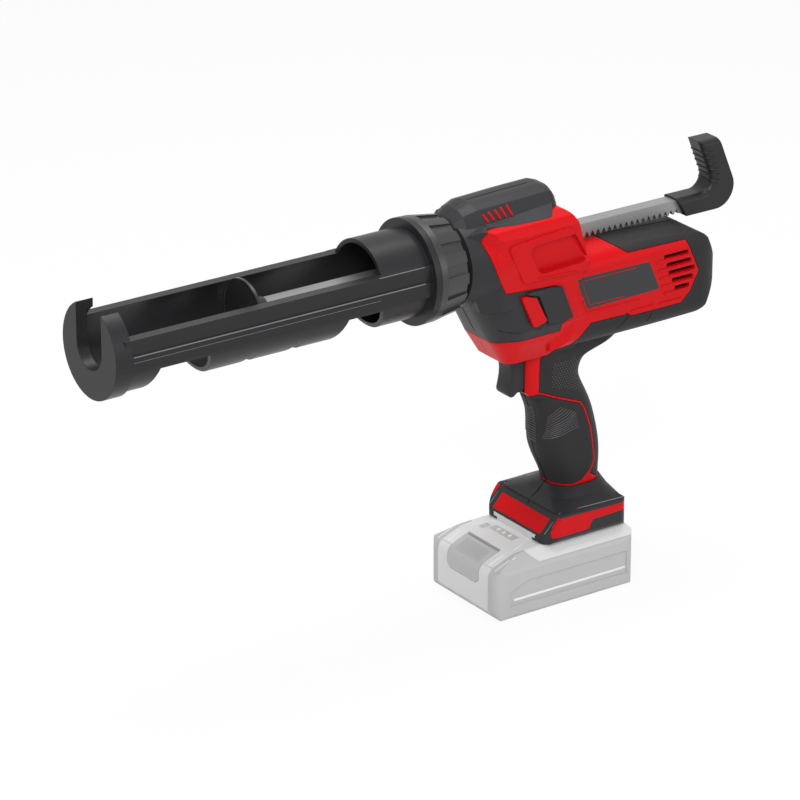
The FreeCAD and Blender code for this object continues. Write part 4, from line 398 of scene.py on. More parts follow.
# Finishes by material slot: label, colour or the name of one of the colours, roughness, strength
# of the grain, change of tone, whether edges are softened, share of metal, gloss.
FINISHES = {
    "red_plastic": ("Red plastic", "red", 0.36, 0.10, 0.04, True, 0.0, 0.12),
    "dark_plastic": ("Dark plastic", "dark", 0.40, 0.22, 0.1, True, 0.0, 0.2),
    "soft_grip": ("Soft grip", "soft", 0.55, 0.25, 0.1, True, 0.0, 0.18),
    "cradle_plastic": ("Trough plastic", "trough", 0.34, 0.28, 0.12, True, 0.0, 0.24),
    "nut_plastic": ("Nut plastic", "trough", 0.32, 0.3, 0.12, True, 0.0, 0.65),
    "handle_plastic": ("Pull handle plastic", "trough", 0.34, 0.2, 0.1, True, 0.0, 0.26),
    "grip_relief": ("Grip relief", "soft", 0.42, 0.1, 0.08, False, 0.0, 0.3),
    # Groove: seams, and painted shade for the neck band and the chin crease.
    "groove": ("Grip groove", "groove", 0.7, 0.1, 0.08, False, 0.0, 0.1),
    # Beads: pale colour as a painted highlight.
    "bead": ("Polished bead", "bead", 0.3, 0.05, 0.08, False, 0.0, 0.5),
    "rod_steel": ("Rod steel", "rod", 0.38, 0.05, 0.06, False, 0.55, 0.5),
    "plunger_steel": ("Plunger steel", (0.03, 0.03, 0.031), 0.34, 0.05, 0.06, False, 0.4, 0.5),
    "gear_steel": ("Gear steel", (0.3, 0.3, 0.3), 0.35, 0.05, 0.1, False, 0.9, 0.5),
    "bronze": ("Bronze", (0.55, 0.34, 0.12), 0.35, 0.05, 0.1, False, 0.9, 0.5),
    "frame_metal": ("Cast metal", (0.42, 0.42, 0.43), 0.45, 0.3, 0.1, False, 0.8, 0.5),
    "guide_plastic": ("Guide plastic", (0.02, 0.02, 0.02), 0.5, 0.1, 0.08, False, 0.0, 0.5),
    "board_green": ("Board lacquer", (0.01, 0.09, 0.035), 0.35, 0.05, 0.2, False, 0.0, 0.5),
    "motor_steel": ("Motor steel", (0.33, 0.33, 0.34), 0.35, 0.05, 0.1, False, 0.9, 0.5),
    "motor_plastic": ("Motor plastic", (0.02, 0.02, 0.02), 0.5, 0.1, 0.08, False, 0.0, 0.5),
    "plate_black": ("Side plate", (0.026, 0.025, 0.028), 0.34, 0.04, 0.05, False, 0.0, 0.36),
    "screw_steel": ("Screw steel", (0.07, 0.07, 0.072), 0.35, 0.05, 0.1, False, 0.9, 0.5),
    "battery_grey": ("Battery sides", "pack_side", 0.5, 0.12, 0.03, True, 0.0, 0.4),
    "battery_pale": ("Battery top", "pack_top", 0.5, 0.12, 0.03, True, 0.0, 0.4),
    "latch_grey": ("Latch", "pack_latch", 0.5, 0.12, 0.03, True, 0.0, 0.4),
    "battery_white": ("Battery white", "pack_white", 0.5, 0.05, 0.02, False, 0.0, 0.3),
    "cell_wrap": ("Cell wrap", (0.1, 0.2, 0.28), 0.4, 0.05, 0.1, False, 0.0, 0.5),
}


class CAULKINGTOOL_OT_finishes(bpy.types.Operator):
    """Paint every CAD node with its moulded, metal or battery finish"""

    bl_idname = "caulking_tool.finishes"
    bl_label = "Finishes"

    def execute(self, context):
        colours = context.scene.caulking_tool_colours
        sizes = context.scene.caulking_tool_sizes
        for slot, (label, tint, roughness, bump, variation, soft, metal, gloss) in FINISHES.items():
            colour = getattr(colours, tint) if isinstance(tint, str) else tint
            # Painted highlight: the grip relief is lifted paler than the soft grip.
            if slot == "grip_relief":
                colour = [tone * RELIEF_HIGHLIGHT_LIFT for tone in colour]
            FINISH[slot] = moulded(label, colour, roughness, bump, variation,
                                   sizes.edge if soft else 0.0, metal, gloss, sizes.grain)
        slots = {row["node"]: row["material_slot"] for row in frame["record"]["subparts"]}
        for name, node in NODES.items():
            node.data.materials.clear()
            node.data.materials.append(FINISH[slots[name]])
        return {"FINISHED"}


# Hood bars: top and bottom of the first and the last bar, along the tool and up.
BAR_FIRST = (mm(-59.1, 283.8), mm(-56.3, 278.6))
BAR_LAST = (mm(-39.7, 286.2), mm(-37.0, 279.2))
BARS = 5
BAR_HEIGHT_SHARE, BAR_ROUND_SHARE = 0.8, 0.25


class CAULKINGTOOL_OT_hood_bars(bpy.types.Operator):
    """Five slanting red bars on each side of the hood"""

    bl_idname = "caulking_tool.hood_bars"
    bl_label = "Hood bars"

    def execute(self, context):
        width = context.scene.caulking_tool_sizes.bar_width
        for side, word in SIDES:
            bars = []
            for share in even_steps((0, 1), BARS):
                ends = [Vector(a).lerp(Vector(b), share) for a, b in zip(BAR_FIRST, BAR_LAST)]
                top, low = [from_side([f"nose_cover_{word}"], *end, side) for end in ends]
                along = low[0] - top[0]
                bar = rounded_bar(along.length, width, width * BAR_HEIGHT_SHARE,
                                  width * BAR_ROUND_SHARE)
                middle = Matrix.Translation((top[0] + low[0]) / 2)
                bar.matrix_world = middle @ seat(top[1] + low[1], along)
                bars.append(bar)
            settle(joined(bars), f"hood_bars_{word}", "housing", "red_plastic")
        return {"FINISHED"}


# Thumb rest: outline along the tool and up, the face it stands on, how far it is rooted there, its
# rise and its sloping edge, and how far and about which point its top draws in.
THUMB_OUTLINE = (mm(-36.4, 229.0), mm(-30.0, 229.5), mm(-14.5, 229.5), mm(-6.6, 228.0),
                 mm(2.6, 204.2), mm(-17.4, 203.2), mm(-26.4, 225.4), mm(-28.9, 227.2))
THUMB_FACE, THUMB_ROOT, THUMB_RISE, THUMB_EDGE = mm(-33.0, 0.4, 1.2, 0.9)
THUMB_TOP_SHARE, THUMB_MIDDLE = 0.93, mm(-12.0, 0.0, 215.0)


class CAULKINGTOOL_OT_thumb_rest(bpy.types.Operator):
    """Raised rest behind the rod release button, with a lip over it"""

    bl_idname = "caulking_tool.thumb_rest"
    bl_label = "Thumb rest"

    def execute(self, context):
        rest = outline_of([(x, THUMB_FACE + THUMB_ROOT, z) for x, z in THUMB_OUTLINE])
        extrude(0, -THUMB_RISE - THUMB_ROOT, 0)
        extrude(0, -THUMB_EDGE, 0)
        bpy.ops.transform.resize(value=(THUMB_TOP_SHARE, 1, THUMB_TOP_SHARE),
                                 center_override=THUMB_MIDDLE)
        close_up()
        settle(rest, "thumb_rest", "housing", "dark_plastic")
        return {"FINISHED"}


# Hood ledge: inner and outer edge at stations from front to rear.
LEDGE = ((mm(-60.0, 20.0, 278.2), mm(-60.0, 23.6, 277.1)),
         (mm(-50.0, 19.2, 278.5), mm(-50.0, 25.4, 276.6)),
         (mm(-40.0, 18.8, 279.0), mm(-42.0, 26.8, 276.15)),
         (mm(-30.0, 18.4, 279.6), mm(-34.0, 27.4, 275.95)),
         (mm(-20.0, 17.9, 280.4), mm(-26.0, 27.7, 275.9)),
         (mm(-10.0, 17.3, 281.2), mm(-18.0, 27.8, 275.9)),
         (mm(-3.0, 16.6, 281.6), mm(-11.5, 27.6, 275.9)))
LEDGE_DEPTH = 0.0012


class CAULKINGTOOL_OT_hood_ledges(bpy.types.Operator):
    """Ledge that widens and climbs to the rear under the bars of the hood"""

    bl_idname = "caulking_tool.hood_ledges"
    bl_label = "Hood ledges"

    def execute(self, context):
        bays = len(LEDGE) - 1
        for side, word in SIDES:
            deselect_all()
            bpy.ops.mesh.primitive_grid_add(x_subdivisions=bays, y_subdivisions=1, size=1)
            ledge = context.object
            for corner in ledge.data.vertices:
                inner, outer = LEDGE[round((corner.co.x + 0.5) * bays)]
                x, across, level = inner if corner.co.y < 0 else outer
                corner.co = (x, side * across, level)
            bpy.ops.object.mode_set(mode="EDIT")
            bpy.ops.mesh.select_all(action="SELECT")
            extrude(0, 0, -LEDGE_DEPTH)
            close_up()
            settle(ledge, f"hood_ledge_{word}", "housing", "dark_plastic")
        return {"FINISHED"}


# Trigger: outline along the tool and up, half its width and the rounding of its edges.
TRIGGER_OUTLINE = (mm(-9.0, 176.6), mm(-30.4, 176.6), mm(-30.0, 171.0), mm(-28.6, 166.5),
                   mm(-28.0, 162.0), mm(-28.3, 157.0), mm(-29.3, 152.0), mm(-30.2, 148.0),
                   mm(-29.8, 145.9), mm(-28.4, 144.6), mm(-26.4, 144.5), mm(-24.8, 145.6),
                   mm(-23.4, 146.8), mm(-9.0, 147.2))
TRIGGER_HALF, TRIGGER_ROUND, TRIGGER_ROUND_STEPS = 0.0088, 0.0026, 4
TRIGGER_ROUND_ANGLE = math.radians(60)


class CAULKINGTOOL_OT_trigger(bpy.types.Operator):
    """Trigger with a hollow front and a lip for the finger"""

    bl_idname = "caulking_tool.trigger"
    bl_label = "Trigger"

    def execute(self, context):
        lever = outline_of([(x, -TRIGGER_HALF, z) for x, z in TRIGGER_OUTLINE])
        extrude(0, 2 * TRIGGER_HALF, 0)
        close_up()
        apply_modifier(lever, "BEVEL", width=TRIGGER_ROUND, segments=TRIGGER_ROUND_STEPS,
                       limit_method="ANGLE", angle_limit=TRIGGER_ROUND_ANGLE)
        settle(lever, "trigger_lever", "trigger", "dark_plastic")
        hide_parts("trigger")
        return {"FINISHED"}


# Neck band: its front and rear along the tool, its radius at both, and its wall.
# The band is painted shade: a near-black sheet where the gap behind the nut falls in shadow.
NECK_BAND, NECK_RADII, NECK_WALL = mm(-80.8, -76.6), mm(29.15, 30.0), 0.0004


class CAULKINGTOOL_OT_neck_band(bpy.types.Operator):
    """Dark band of painted shade round the neck behind the union nut"""

    bl_idname = "caulking_tool.neck_band"
    bl_label = "Neck band"

    def execute(self, context):
        axis = context.scene.caulking_tool_sizes.axis
        deselect_all()
        bpy.ops.mesh.primitive_cone_add(
            vertices=ROUND_STEPS, radius1=NECK_RADII[0], radius2=NECK_RADII[1],
            depth=NECK_BAND[1] - NECK_BAND[0], end_fill_type="NOTHING",
            location=(sum(NECK_BAND) / 2, 0, axis), rotation=(0, math.pi / 2, 0))
        band = context.object
        apply_modifier(band, "SOLIDIFY", thickness=NECK_WALL, offset=-1)
        # Painted shade: the band takes the near-black groove colour.
        settle(band, "neck_band", "housing", "dark_plastic", "groove")
        return {"FINISHED"}


# Plunger: section from its front face to the end of its hub, along the tool and out from the axis.
PLUNGER_SECTION = (mm(-234.4, 5.2), mm(-234.4, 21.4), mm(-235.0, 21.7), mm(-235.0, 22.6),
                   mm(-232.9, 22.6), mm(-232.9, 21.8), mm(-233.2, 21.0), mm(-233.2, 9.5),
                   mm(-230.5, 8.2), mm(-220.0, 8.0), mm(-219.0, 7.4))
MERGE_DISTANCE = 0.00001


class CAULKINGTOOL_OT_plunger(bpy.types.Operator):
    """Dished plunger disc with its hub behind it"""

    bl_idname = "caulking_tool.plunger"
    bl_label = "Plunger"

    def execute(self, context):
        axis = context.scene.caulking_tool_sizes.axis
        disc = outline_of([(x, 0, axis + out) for x, out in PLUNGER_SECTION], "NOTHING")
        bpy.ops.mesh.spin(steps=ROUND_STEPS, angle=2 * math.pi, center=(0, 0, axis), axis=(1, 0, 0))
        bpy.ops.mesh.select_all(action="SELECT")
        bpy.ops.mesh.remove_doubles(threshold=MERGE_DISTANCE)
        close_up()
        settle(disc, "plunger_disc", "rod", "plunger_steel")
        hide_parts("plunger")
        return {"FINISHED"}


# The trough beads and the sleeve bead carry a painted highlight where the trough's edges catch the
# light.
# Trough beads: front, rear and level of each, and its share of the bead's size. Sleeve bead: its
# stations along the tool, its distance from the middle and its share. The trough's side is met by
# the drop below a bead's level.
TROUGH_BEADS = ((*mm(-335.0, -115.0, 252.95), 1.0), (*mm(-335.0, -150.0, 249.2), 0.4))
BEAD_DROP = 0.0004
SLEEVE_BEAD, SLEEVE_BEAD_SIDE, SLEEVE_BEAD_SHARE = mm(-150.0, -132.0, -115.0), 0.0303, 0.8


class CAULKINGTOOL_OT_trough_beads(bpy.types.Operator):
    """Beads along both sides of the trough, coloured as a painted highlight"""

    bl_idname = "caulking_tool.trough_beads"
    bl_label = "Trough beads"

    def execute(self, context):
        half = context.scene.caulking_tool_sizes.bead
        for side, word in SIDES:
            beads = []
            for start, end, level, share in TROUGH_BEADS:
                points = [from_side(["cradle"], x, level - BEAD_DROP, side)[0]
                          for x in (start, (start + end) / 2, end)]
                points = [(point.x, point.y, level) for point in points]
                beads.append(surface_line(points, half * share))
            points = [from_above(["cradle"], x, side * SLEEVE_BEAD_SIDE)[0] for x in SLEEVE_BEAD]
            beads.append(surface_line(points, half * SLEEVE_BEAD_SHARE))
            # Painted highlight: the beads take the pale bead colour.
            settle(joined(beads), f"trough_beads_{word}", "cradle", "cradle_plastic", "bead")
        return {"FINISHED"}


# Foot bead and chin crease as points on a side, and the parting seams as stations along the tool
# (hood, foot and crown) or levels (chin, spine, palm and rear), met a little left of the gap.
# The foot bead is a painted highlight along the foot's upper edge.
FOOT_BEAD = (mm(-16.8, 31.4, 50.8), mm(-10.5, 31.35, 57.1), mm(-4.6, 31.3, 63.0),
             mm(12.4, 33.1, 63.9), mm(30.0, 33.6, 63.6), mm(47.8, 34.0, 63.3))
FOOT_BEAD_SHARE = 0.9
# The chin crease is a near-black line of painted shade.
CHIN_CREASE = (mm(-52.0, 203.9), mm(-50.0, 203.2), mm(-45.0, 202.2), mm(-39.4, 201.1),
               mm(-22.0, 200.6))
SEAM_STEPS, SEAM_OFF = 16, 0.0006
HOOD_SEAM = mm(-74.0, -68.0, -60.0, -45.0, -30.0, -12.0)
CHIN_SEAM = mm(197.0, 203.0, 209.0, 215.0)
FOOT_SEAM = mm(-8.0, -5.0, -1.0, 3.0, 5.0)
SPINE_SEAM = even_steps(mm(73.0, 186.0), SEAM_STEPS)
PALM_SEAM = even_steps(mm(73.0, 144.0), SEAM_STEPS)
REAR_SEAM = even_steps(mm(200.0, 238.0), SEAM_STEPS)
CROWN_SEAM = even_steps(mm(34.0, 112.0), SEAM_STEPS)
SEAMED_NODES = ("spine_grip_left", "palm_grip_left", "rear_bumper_left", "body_shell_left",
                "foot_cover_left")


class CAULKINGTOOL_OT_creases(bpy.types.Operator):
    """Parting seams all round the housing, the chin's crease and the foot's bead"""

    bl_idname = "caulking_tool.creases"
    bl_label = "Seams and creases"

    def execute(self, context):
        sizes = context.scene.caulking_tool_sizes
        hood = [from_above(["nose_cover_left"], x, -SEAM_OFF)[0] for x in HOOD_SEAM]
        chin = [from_front(["nose_cover_left"], -SEAM_OFF, z)[0] for z in CHIN_SEAM]
        foot = [from_above(["foot_cover_left"], x, -SEAM_OFF)[0] for x in FOOT_SEAM]
        spine = [from_rear(SEAMED_NODES, -SEAM_OFF, z)[0] for z in SPINE_SEAM]
        palm = [from_front(SEAMED_NODES, -SEAM_OFF, z)[0] for z in PALM_SEAM]
        rear = [from_rear(SEAMED_NODES, -SEAM_OFF, z)[0] for z in REAR_SEAM]
        crown = [from_above(SEAMED_NODES, x, -SEAM_OFF)[0] for x in CROWN_SEAM]
        seams = [surface_line([(point.x, 0, point.z) for point in run], sizes.seam)
                 for run in (hood, chin, foot + palm[:1], spine, palm, rear, crown)]
        for side, word in SIDES:
            # Chin crease: a line of painted shade.
            points = [from_side([f"nose_cover_{word}"], *point, side)[0] for point in CHIN_CREASE]
            seams.append(surface_line(points, sizes.seam))
            # Foot bead: pale line of painted highlight along the foot's upper edge.
            points = [(x, side * y, z) for x, y, z in FOOT_BEAD]
            bead = surface_line(points, sizes.bead * FOOT_BEAD_SHARE)
            settle(bead, f"foot_bead_{word}", "housing", "dark_plastic", "bead")
        settle(joined(seams), "parting_seams", "housing", "dark_plastic", "groove")
        return {"FINISHED"}


# Vent fins and the ledges below them: first and last station along the tool, and the level.
FINS = (mm(73.0, 101.5, 225.9), mm(74.8, 104.0, 219.7), mm(76.6, 106.5, 213.8),
        mm(78.4, 105.2, 207.9), mm(80.2, 100.0, 202.2))
SIDE_LEDGES = (mm(53.2, 72.4, 195.8), mm(76.0, 95.4, 195.8))
CASE_SIDE = 0.0310
FIN_ROUND_SHARE = 0.3


class CAULKINGTOOL_OT_side_trim(bpy.types.Operator):
    """Fins between the vents and the ledges below them"""

    bl_idname = "caulking_tool.side_trim"
    bl_label = "Side trim"

    def execute(self, context):
        height = context.scene.caulking_tool_sizes.fin_height
        for side, word in SIDES:
            bars = []
            for start, end, level in (*FINS, *SIDE_LEDGES):
                bar = rounded_bar(end - start, height, height, height * FIN_ROUND_SHARE)
                bar.location = ((start + end) / 2, side * CASE_SIDE, level)
                bars.append(bar)
            settle(joined(bars), f"side_trim_{word}", "housing", "red_plastic")
        return {"FINISHED"}


# Line on the side plate, and the rims of the plate and of the pocket, along the tool and up.
PLATE_LINE = (mm(56.2, 226.3), mm(11.4, 226.3), mm(18.3, 208.2), mm(46.9, 208.2))
PLATE_RIM = (mm(12.6, 212.0), mm(16.6, 203.4), mm(17.8, 203.0), mm(40.0, 202.9), mm(60.0, 202.8))
POCKET_RIM = (mm(-26.5, 238.6), mm(-24.5, 237.6), mm(-10.0, 236.9), mm(4.0, 236.2))
PLATE_LINE_FLAT, RIM_SHARE = 0.4, 2.2


class CAULKINGTOOL_OT_plate_line(bpy.types.Operator):
    """Thin red line on the side plate, the rim below it and the rim of the pocket"""

    bl_idname = "caulking_tool.plate_line"
    bl_label = "Plate line"

    def execute(self, context):
        half = context.scene.caulking_tool_sizes.trim
        points = [from_side(["side_plate"], x, z, -1)[0] for x, z in PLATE_LINE]
        line = surface_line(points, half)
        only(line)
        bpy.ops.object.mode_set(mode="EDIT")
        bpy.ops.mesh.select_all(action="SELECT")
        bpy.ops.transform.resize(value=(1, PLATE_LINE_FLAT, 1), center_override=(0, points[0].y, 0))
        bpy.ops.object.mode_set(mode="OBJECT")
        settle(line, "plate_line", "housing", "red_plastic")
        rims = [surface_line([from_side(["body_shell_left"], x, z, -1)[0] for x, z in run],
                             half * RIM_SHARE) for run in (PLATE_RIM, POCKET_RIM)]
        settle(joined(rims), "plate_rim", "housing", "red_plastic")
        return {"FINISHED"}


# Palm ribs: the lowest, the middle and the highest rib as points along the tool and up.
PALM_RIBS = ((mm(-3.4, 110.0), mm(1.0, 110.7), mm(8.8, 112.9), mm(20.9, 116.0)),
             (mm(-2.1, 116.3), mm(4.4, 119.8), mm(12.7, 123.2), mm(18.2, 127.0)),
             (mm(-1.9, 125.6), mm(1.3, 129.8), mm(4.0, 132.0), mm(6.2, 133.4)))
PALM_RIB_COUNT, PALM_RIB_POINTS = 12, 13
# Spine dots: outline of their field, row distance as a share of the pitch, the most that a row
# can hold, and how flat, many-sided and many-ringed a dot is.
DOT_AREA = (mm(-2.2, 166.9), mm(16.6, 167.8), mm(20.5, 158.0), mm(22.6, 150.0), mm(24.6, 140.2),
            mm(10.8, 145.6), mm(-1.2, 148.8))
DOT_ROW_SHARE, DOT_COLUMNS, DOT_FLAT = 0.87, 18, 0.6
DOT_SIDES, DOT_RINGS = 8, 5
# Bumper seams: points along the tool and up.
BUMPER_SEAMS = ((mm(70.6, 190.7), mm(69.0, 188.0), mm(67.3, 185.2)),
                (mm(51.6, 193.4), mm(46.8, 189.6), mm(41.8, 185.8)))
BUMPER_SEAM_SHARE = 0.6
# Finger strip: its lowest and highest rib, and the points of a rib across the tool.
STRIP_LEVELS, STRIP_ACROSS = mm(106.5, 131.5), mm(-4.6, -2.4, -0.4, 0.4, 2.4, 4.6)
STRIP_RIBS, STRIP_SHARE = 14, 1.2


def palm_ribs(handle, side, half):
    """Ribs that fan across the palm grip, the first node, and break where others cover it."""
    ribs = []
    for share in even_steps((0, 2), PALM_RIB_COUNT):
        bay = int(share > 1)
        corners = [Vector(a).lerp(Vector(b), share - bay) for a, b in zip(*PALM_RIBS[bay:bay + 2])]
        points = []
        for x, z in smooth_path(corners, PALM_RIB_POINTS):
            place, _, node = from_side(handle, x, z, side)
            if node == handle[0]:
                points.append(place)
            elif len(points) > 1:
                ribs.append(surface_line(points, half))
                points = []
        if len(points) > 1:
            ribs.append(surface_line(points, half))
    return joined(ribs)


def spine_dots(handle, side, radius, pitch):
    """Low dots in staggered rows over their field on the spine grip."""
    deselect_all()
    bpy.ops.mesh.primitive_uv_sphere_add(segments=DOT_SIDES, ring_count=DOT_RINGS, radius=radius)
    model = bpy.context.object
    flat = Matrix.Diagonal((1, 1, DOT_FLAT, 1))
    levels = [z for _, z in DOT_AREA]
    lowest, row_pitch, dots = min(levels), pitch * DOT_ROW_SHARE, []
    for row in range(int((max(levels) - lowest) / row_pitch) + 1):
        z = lowest + row * row_pitch
        for column in range(DOT_COLUMNS):
            x = DOT_AREA[0][0] + (column + row % 2 / 2) * pitch
            if inside(DOT_AREA, x, z):
                place, normal, _ = from_side(handle, x, z, side)
                turn = seat(normal, (0, 0, 1))
                dots.append(copy_of(model, Matrix.Translation(place) @ turn @ flat))
    bpy.data.objects.remove(model)
    return joined(dots)


class CAULKINGTOOL_OT_grip_texture(bpy.types.Operator):
    """Ribs on the palm grips, dots on the spine grips, bumper seams and the finger strip"""

    bl_idname = "caulking_tool.grip_texture"
    bl_label = "Grip texture"

    def execute(self, context):
        sizes = context.scene.caulking_tool_sizes
        # The ribs, dots and finger strip take the paler relief colour, a painted highlight.
        for side, word in SIDES:
            handle = [f"palm_grip_{word}", f"spine_grip_{word}", f"body_shell_{word}",
                      "housing_screws"]
            ribs = palm_ribs(handle, side, sizes.rib)
            settle(ribs, f"palm_ribs_{word}", "housing", "soft_grip", "grip_relief")
            dots = spine_dots(handle, side, sizes.dot, sizes.dot_pitch)
            settle(dots, f"spine_dots_{word}", "housing", "soft_grip", "grip_relief")
            bumper = [f"rear_bumper_{word}", f"spine_grip_{word}"]
            seams = [surface_line([from_side(bumper, *point, side)[0] for point in run],
                                  sizes.rib * BUMPER_SEAM_SHARE) for run in BUMPER_SEAMS]
            settle(joined(seams), f"bumper_seam_{word}", "housing", "soft_grip", "groove")
        grips = ["palm_grip_left", "palm_grip_right"]
        strip = [surface_line([from_front(grips, y, z)[0] for y in STRIP_ACROSS],
                              sizes.rib * STRIP_SHARE)
                 for z in even_steps(STRIP_LEVELS, STRIP_RIBS)]
        settle(joined(strip), "finger_strip", "housing", "soft_grip", "grip_relief")
        return {"FINISHED"}


# Pull handle ribs: the lowest and the highest level, a rib's points across the leg, and its points
# on a flank by their distance back from the front.
HANDLE_RIB_LEVELS, HANDLE_RIB_COUNT = mm(263.5, 285.0), 6
HANDLE_ACROSS = mm(-6.0, -3.0, 0.0, 3.0, 6.0)
HANDLE_FLANK = mm(7.0, 4.55, 3.15)


class CAULKINGTOOL_OT_handle_ribs(bpy.types.Operator):
    """Finger ribs round the front of the pull handle"""

    bl_idname = "caulking_tool.handle_ribs"
    bl_label = "Pull handle ribs"

    def execute(self, context):
        half = context.scene.caulking_tool_sizes.handle_rib
        leg, ribs = ["pull_handle"], []
        for z in even_steps(HANDLE_RIB_LEVELS, HANDLE_RIB_COUNT):
            front = [from_front(leg, y, z)[0] for y in HANDLE_ACROSS]
            reach = front[len(front) // 2].x
            flank = [from_side(leg, reach + back, z, -1)[0] for back in HANDLE_FLANK]
            other = [Vector((point.x, -point.y, point.z)) for point in reversed(flank)]
            ribs.append(surface_line([*flank, *front, *other], half))
        settle(joined(ribs), "handle_ribs", "rod", "handle_plastic")
        return {"FINISHED"}


# Battery stripe: front, rear and level. Edges of its top, along the tool and across. Window: place
# along the tool and across, length and width. Latch lines: their ends across, first and last row.
STRIPE, STRIPE_HEIGHT, STRIPE_RISE = mm(-47.0, 46.5, 13.1), 0.0016, 0.0006
STRIPE_ROUND_SHARE = 0.3
PACK_TOP_NODES = ("battery_upper_case", "battery_lower_case", "battery_front_frame")
PACK_EDGES = ((mm(-57.4, -24.0), mm(-52.0, -24.4), mm(-47.1, -24.8), mm(-36.1, -24.7),
               mm(-21.5, -19.3)),
              (mm(-58.6, -32.9), mm(-55.0, -32.9), mm(-48.0, -32.9), mm(-42.0, -32.8)))
PACK_EDGE_SHARE = 1.4
PACK_WINDOW, PACK_WINDOW_RISE, PACK_WINDOW_ROUND = mm(-31.0, 17.4, 7.0, 4.6), 0.0005, 0.0001
LIGHTS, LIGHT_PITCH, LIGHT_WIDTH_SHARE, LIGHT_RISE, LIGHT_ROUND = 3, 0.0065, 0.75, 0.0006, 0.00015
LATCH_LINES, LATCH_SPAN, LATCH_ROWS = 9, mm(-13.5, 13.5), mm(-58.6, -48.6)
LATCH_LINE_SHARE = 0.7


def laid_bar(nodes, x, y, length, width, height, bevel):
    """Rounded bar that lies along the tool on the surface met from above."""
    bar = rounded_bar(length, width, height, bevel)
    place, normal, _ = from_above(nodes, x, y)
    bar.matrix_world = Matrix.Translation(place) @ seat(normal, (1, 0, 0))
    return bar


class CAULKINGTOOL_OT_battery_trim(bpy.types.Operator):
    """Stripes, edges, window, indicator lights and latch lines of the battery"""

    bl_idname = "caulking_tool.battery_trim"
    bl_label = "Battery trim"

    def execute(self, context):
        sizes = context.scene.caulking_tool_sizes
        start, end, level = STRIPE
        for side, word in SIDES:
            place = from_side(["battery_lower_case"], (start + end) / 2, level, side)[0]
            stripe = rounded_bar(end - start, STRIPE_RISE, STRIPE_HEIGHT,
                                 STRIPE_RISE * STRIPE_ROUND_SHARE)
            stripe.location = ((start + end) / 2, place.y, level)
            settle(stripe, f"pack_stripe_{word}", "battery", "battery_pale", "battery_white")
        edges = [surface_line([from_above(PACK_TOP_NODES, x, -side * y)[0] for x, y in run],
                              sizes.seam * PACK_EDGE_SHARE)
                 for run in PACK_EDGES for side, _ in SIDES]
        settle(joined(edges), "pack_edges", "battery", "battery_pale", "battery_white")
        window = laid_bar(PACK_TOP_NODES, *PACK_WINDOW, PACK_WINDOW_RISE, PACK_WINDOW_ROUND)
        settle(window, "pack_window", "battery", "latch_grey")
        middle = sum(corner[0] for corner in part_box("charge_indicator")) / 2
        lights = [laid_bar(["charge_indicator"], middle, (index - (LIGHTS - 1) / 2) * LIGHT_PITCH,
                           sizes.light, sizes.light * LIGHT_WIDTH_SHARE, LIGHT_RISE, LIGHT_ROUND)
                  for index in range(LIGHTS)]
        settle(joined(lights), "indicator_lights", "battery", "battery_pale", "battery_white")
        lines = [surface_line([from_above(["battery_latch"], x, y)[0] for y in LATCH_SPAN],
                              sizes.rib * LATCH_LINE_SHARE)
                 for x in even_steps(LATCH_ROWS, LATCH_LINES)]
        settle(joined(lines), "latch_lines", "battery_latch", "latch_grey")
        return {"FINISHED"}


# Floor: its edge, paint and share of glow. Surround: its strength as light and as it is seen.
FLOOR_SIZE, FLOOR_TONE, FLOOR_ROUGHNESS, FLOOR_GLOW = 8.0, 0.92, 0.9, 0.9
WORLD_LIGHT, WORLD_SEEN = 0.40, 1.0
# Lamps: name, place, edge and power.
LAMPS = (("key", (-1.2, -1.5, 1.7), 1.0, 27.0), ("top", (0.1, 0.2, 1.9), 1.2, 25.0),
         ("side", (0.9, -1.7, 0.8), 1.0, 5.0))
LAMP_AIM = (-0.1, 0, 0.2)
# Camera: its place, and its axes to the right, up and back.
CAMERA_EYE = (-1.6795, -2.2547, 1.3137)
CAMERA_AXES = ((0.82126, -0.57055, 0.0), (0.22089, 0.31795, 0.92201), (-0.52605, -0.75721, 0.38715))
CAMERA_LENS, CAMERA_SENSOR, CAMERA_REACH = 204.4, 36.0, 50.0


def background_rays(nodes, links):
    """Socket that is 1 for rays of the camera, reflections and glass."""
    rays = nodes.new("ShaderNodeLightPath")
    seen, either = nodes.new("ShaderNodeMath"), nodes.new("ShaderNodeMath")
    seen.operation = either.operation = "MAXIMUM"
    links.new(rays.outputs["Is Camera Ray"], seen.inputs[0])
    links.new(rays.outputs["Is Glossy Ray"], seen.inputs[1])
    links.new(seen.outputs["Value"], either.inputs[0])
    links.new(rays.outputs["Is Transmission Ray"], either.inputs[1])
    return either.outputs["Value"]


def floor_material():
    """Nearly white to the camera and to reflections, with the tool's soft shadow."""
    material = bpy.data.materials.new("Pale floor")
    material.use_nodes = True
    nodes, links = material.node_tree.nodes, material.node_tree.links
    paint, leave = nodes["Principled BSDF"], nodes["Material Output"]
    paint.inputs["Base Color"].default_value = (FLOOR_TONE, FLOOR_TONE, FLOOR_TONE, 1)
    paint.inputs["Roughness"].default_value = FLOOR_ROUGHNESS
    paint.inputs["Specular IOR Level"].default_value = 0.0
    glow, blend = nodes.new("ShaderNodeEmission"), nodes.new("ShaderNodeMixShader")
    share = nodes.new("ShaderNodeMath")
    share.operation = "MULTIPLY"
    share.inputs[1].default_value = FLOOR_GLOW
    links.new(background_rays(nodes, links), share.inputs[0])
    links.new(share.outputs["Value"], blend.inputs["Fac"])
    links.new(paint.outputs["BSDF"], blend.inputs[1])
    links.new(glow.outputs["Emission"], blend.inputs[2])
    links.new(blend.outputs["Shader"], leave.inputs["Surface"])
    return material


